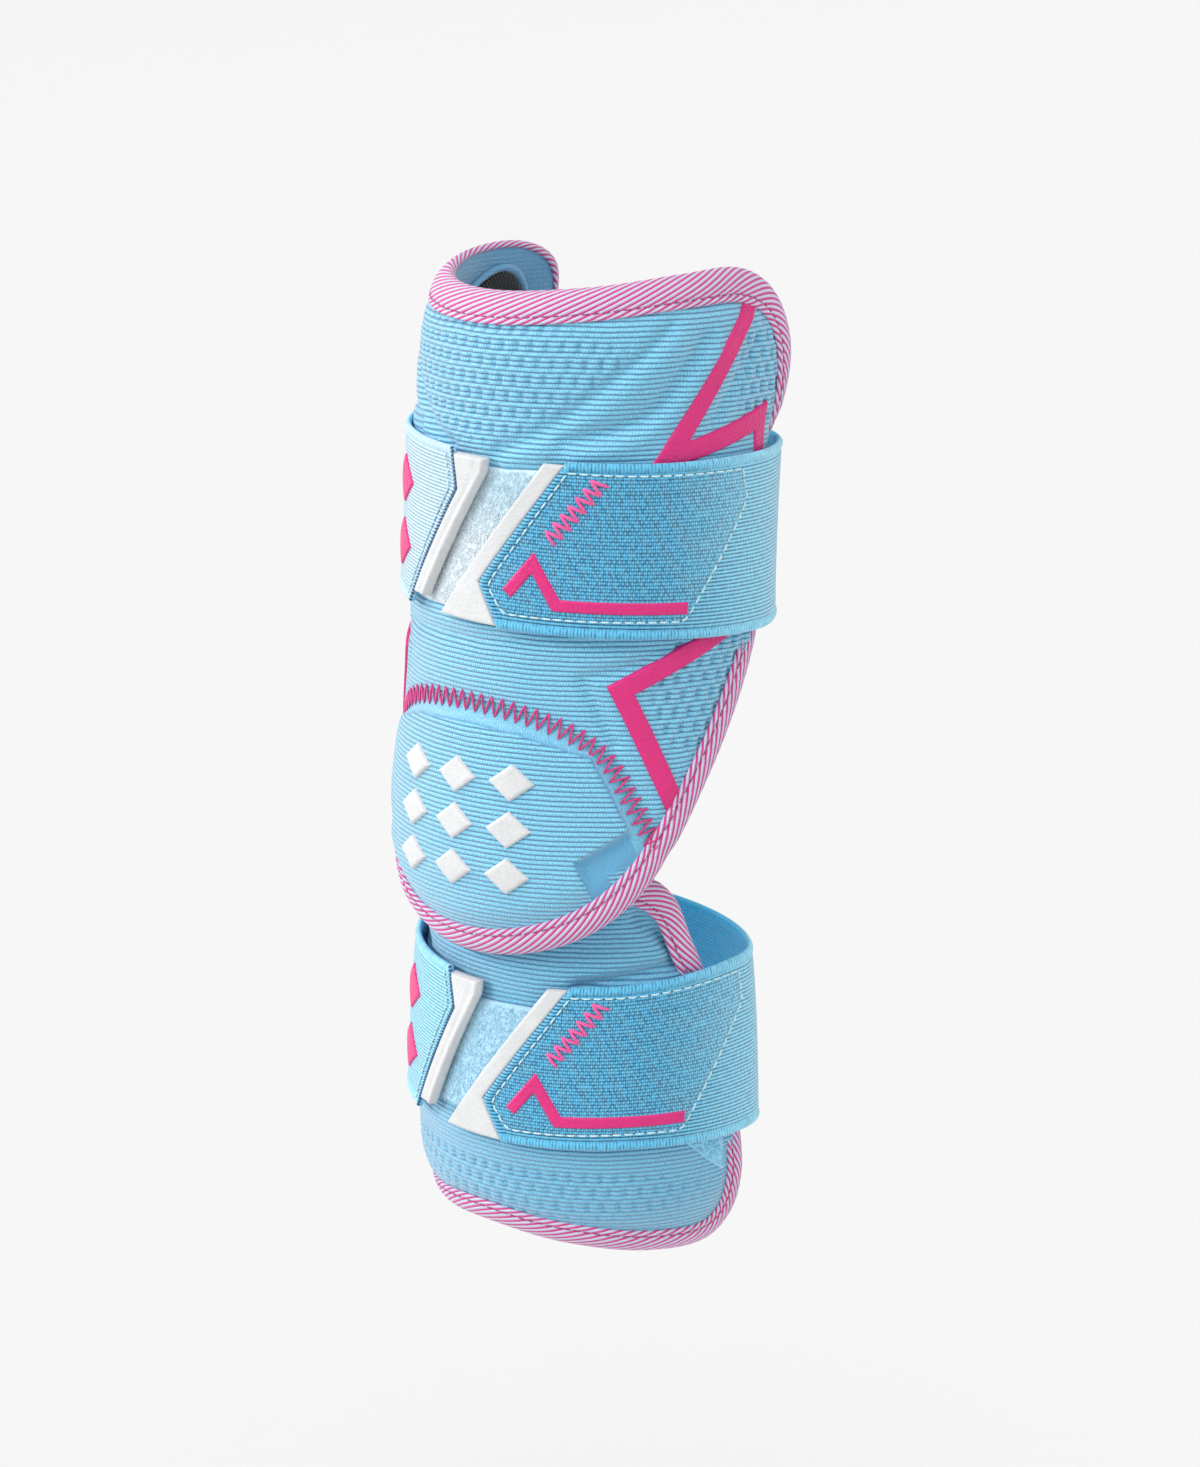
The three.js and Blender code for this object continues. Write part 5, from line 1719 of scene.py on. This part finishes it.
class GUARD_OT_strap_trim(bpy.types.Operator):
    """Adds the pink rubber check on each strap's right end and the diamonds on its left end"""

    bl_idname = "guard.strap_trim"
    bl_label = "Strap trim"

    def execute(self, context):
        trim = context.scene.guard_trim
        finish = pink_rubber(trim)
        sizes = *STRAP_TRIM_LAYER, trim.bevel
        for strap in STRAPS:
            edges = band(CHECK, CHECK_WIDTH)
            name, node = strap.name + "_check", strap.name + "_strap_check"
            add_plate(name, edges, strap.flat, *sizes, finish, "pink_rubber", node)
            for number, middle in enumerate(STRAP_DIAMOND_MIDDLES, 1):
                edges = diamond(middle, STRAP_DIAMOND_HALF)
                name = f"{strap.name}_pink_diamond_{number}"
                node = f"{strap.name}_strap_diamond_{number}"
                add_plate(name, edges, strap.lifted, *sizes, finish, "pink_rubber", node, step=FINE_STEP)
        return {"FINISHED"}


class GUARD_OT_strap_stitches(bpy.types.Operator):
    """Adds the straps' dashed stitches, bar tacks and serged left edges"""

    bl_idname = "guard.strap_stitches"
    bl_label = "Strap stitches"

    def execute(self, context):
        straps = context.scene.guard_straps
        pale = kept(thread_finish, "strap thread", straps.thread_colour)
        pink = kept(thread_finish, "tack thread", straps.tack_colour)
        blue = kept(thread_finish, "serging thread", straps.serge_colour)
        outline = np.concatenate([PANEL, PANEL[:1]])
        for strap in STRAPS:
            on_right = lambda places, n: strap.flat(places, n + STRAP_THICKNESS)
            on_left = lambda places, n: strap.lifted(places, n + STRAP_THICKNESS)
            on_panel = lambda places, n: strap.flat(places, n + STRAP_THICKNESS + PANEL_HEIGHT)
            h = np.linspace(END_LINE_MARGIN, STRAP_WIDTH - END_LINE_MARGIN, 40)
            end_line = np.stack([strap.left_end(h) - END_LINE_INSET, h], -1)
            points, faces = joined(
                sewn(dashes, outline, PANEL_DASHES, on_right),
                sewn(dashes, end_line, END_DASHES, on_left),
            )
            add_piece(strap.name + "_strap_stitches", points, faces, pale)
            points, faces = sewn(zigzag, BAR_TACK, TACK_ZIGZAG, on_panel)
            add_piece(strap.name + "_bar_tack", points, faces, pink)
            points, faces = stitch(self.serging(strap), on_left, SERGE_RADIUS, SERGE_ARCH)
            add_piece(strap.name + "_serged_edge", points, faces, blue)
        return {"FINISHED"}

    def serging(self, strap):
        """Starts and stops of slanted strokes over the left end's edge."""
        h = np.linspace(SERGE_MARGIN, STRAP_WIDTH - SERGE_MARGIN, SERGE_STROKES)
        edge = np.stack([strap.left_end(h), h], -1)
        slope = unit(np.gradient(edge, axis=0))
        inward = np.stack([-slope[:, 1], slope[:, 0]], -1)
        return edge + SERGE_INSIDE * inward, edge - SERGE_OUTSIDE * inward + SERGE_SLANT * slope


class GUARD_OT_pad_stitches(bpy.types.Operator):
    """Adds the zigzag over the cap's seam and the stitches along the edge tapes"""

    bl_idname = "guard.pad_stitches"
    bl_label = "Pad stitches"

    def execute(self, context):
        pads, tape = context.scene.guard_pads, context.scene.guard_tape
        on_seam = lambda places, n: UPPER.over(places, n + SEAM_LIFT)
        line = seam_curve(SEWN_STATIONS)[BARE_STATIONS:-BARE_STATIONS]
        points, faces = sewn(zigzag, line, SEAM_ZIGZAG, on_seam)
        finish = kept(thread_finish, "seam thread", pads.seam_colour)
        add_piece("seam_zigzag", points, faces, finish)
        finish = kept(thread_finish, "tape thread", tape.thread_colour)
        for name, pad in PADS.items():
            t = dense_stations(pad)
            line = inset(pad.edge, t, np.full(t.shape, tape.width - TAPE_GROOVE))
            on_tape = lambda places, n: pad.over(places, n + TAPE_LIFT)
            points, faces = sewn(dashes, line, TAPE_DASHES, on_tape)
            add_piece(name + "_tape_stitches", points, faces, finish)
        return {"FINISHED"}


class GUARD_OT_stage(bpy.types.Operator):
    """Adds the pale floor, the soft lights and the camera"""

    bl_idname = "guard.stage"
    bl_label = "Stage"

    def execute(self, context):
        stage = context.scene.guard_stage
        self.floor(stage)
        for name, (toward, spread) in LIGHTS.items():
            self.sun(name + " light", getattr(stage, name + "_strength"), toward, spread)
        world = bpy.data.worlds.new("studio")
        world.use_nodes = True
        world.node_tree.nodes["Background"].inputs["Color"].default_value = (1, 1, 1, 1)
        world.node_tree.nodes["Background"].inputs["Strength"].default_value = stage.sky_strength
        context.scene.world = world
        context.scene.view_settings.view_transform = "Standard"
        self.camera(context, stage)
        return {"FINISHED"}

    def floor(self, stage):
        """Flat floor below the guard, carried out in rings: far away it sweeps up with the fourth power
        of the distance, so that it fills the view at every height of the camera."""
        turn = np.linspace(0, 2 * math.pi, FLOOR_SIDES + 1)[:-1]
        start, stop = SWEEP_REACH
        radius = np.concatenate([FLOOR_RINGS, np.linspace(start, stop, SWEEP_RINGS)])[:, None]
        sweep = SWEEP_HEIGHT * np.maximum(0, (radius - start) / (stop - start)) ** 4
        level = CAD_BOX[0][2] - FLOOR_DROP + sweep
        grid = np.stack(np.broadcast_arrays(radius * np.cos(turn), radius * np.sin(turn), level), -1)
        index = np.arange(grid.shape[0] * grid.shape[1]).reshape(grid.shape[:2])
        faces = grid_faces(np.concatenate([index, index[:, :1]], axis=1))
        mesh = bpy.data.meshes.new("floor")
        mesh.from_pydata(grid.reshape(-1, 3).tolist(), [], faces[:, ::-1].tolist() + [index[0].tolist()])
        mesh.shade_smooth()
        mesh.materials.append(kept(floor_finish, stage))
        floor = bpy.data.objects.new("floor", mesh)
        bpy.context.scene.collection.objects.link(floor)

    def sun(self, name, strength, toward, spread):
        """Soft light from one side: toward points from the guard to the light."""
        light = bpy.data.lights.new(name, "SUN")
        light.energy = strength
        light.angle = math.radians(spread)
        lamp = bpy.data.objects.new(name, light)
        lamp.rotation_euler = Vector(toward).to_track_quat("Z", "Y").to_euler()
        bpy.context.scene.collection.objects.link(lamp)

    def camera(self, context, stage):
        """Camera on a circle round the guard, aimed a little above its middle."""
        back = Vector((
            math.sin(stage.azimuth) * math.cos(stage.elevation),
            -math.cos(stage.azimuth) * math.cos(stage.elevation),
            math.sin(stage.elevation),
        ))
        data = bpy.data.cameras.new("camera")
        data.sensor_fit = "VERTICAL"
        data.sensor_height = FRAME_HEIGHT
        data.lens = stage.lens
        camera = bpy.data.objects.new("camera", data)
        camera.location = Vector(CAMERA_AIM) + stage.distance * back
        camera.rotation_euler = back.to_track_quat("Z", "Y").to_euler()
        context.scene.collection.objects.link(camera)
        context.scene.camera = camera


STEPS = [
    GUARD_OT_stage,
    GUARD_OT_pads,
    GUARD_OT_tapes,
    GUARD_OT_liner,
    GUARD_OT_flashes,
    GUARD_OT_cap_diamonds,
    GUARD_OT_loop_patches,
    GUARD_OT_straps,
    GUARD_OT_tabs,
    GUARD_OT_strap_trim,
    GUARD_OT_strap_stitches,
    GUARD_OT_pad_stitches,
]


class GUARD_PT_panel(bpy.types.Panel):
    """Lists the guard's settings and the steps that make it"""

    bl_idname = "GUARD_PT_panel"
    bl_label = "Elbow Guard"
    bl_space_type = "VIEW_3D"
    bl_region_type = "UI"
    bl_category = "Elbow Guard"

    def draw(self, context):
        for key, group in SETTINGS.items():
            box = self.layout.box()
            for setting in group.__annotations__:
                box.prop(getattr(context.scene, key), setting)
        for step in STEPS:
            self.layout.operator(step.bl_idname)


CLASSES = [*SETTINGS.values(), *STEPS, GUARD_PT_panel]


def register():
    for each in CLASSES:
        bpy.utils.register_class(each)
    for key, group in SETTINGS.items():
        setattr(bpy.types.Scene, key, PointerProperty(type=group))


def unregister():
    for key in SETTINGS:
        delattr(bpy.types.Scene, key)
    for each in reversed(CLASSES):
        bpy.utils.unregister_class(each)


def main():
    """Makes the stage and every piece in order."""
    register()
    for step in STEPS:
        group, name = step.bl_idname.split(".")
        getattr(getattr(bpy.ops, group), name)()


if __name__ == "__main__":
    main()
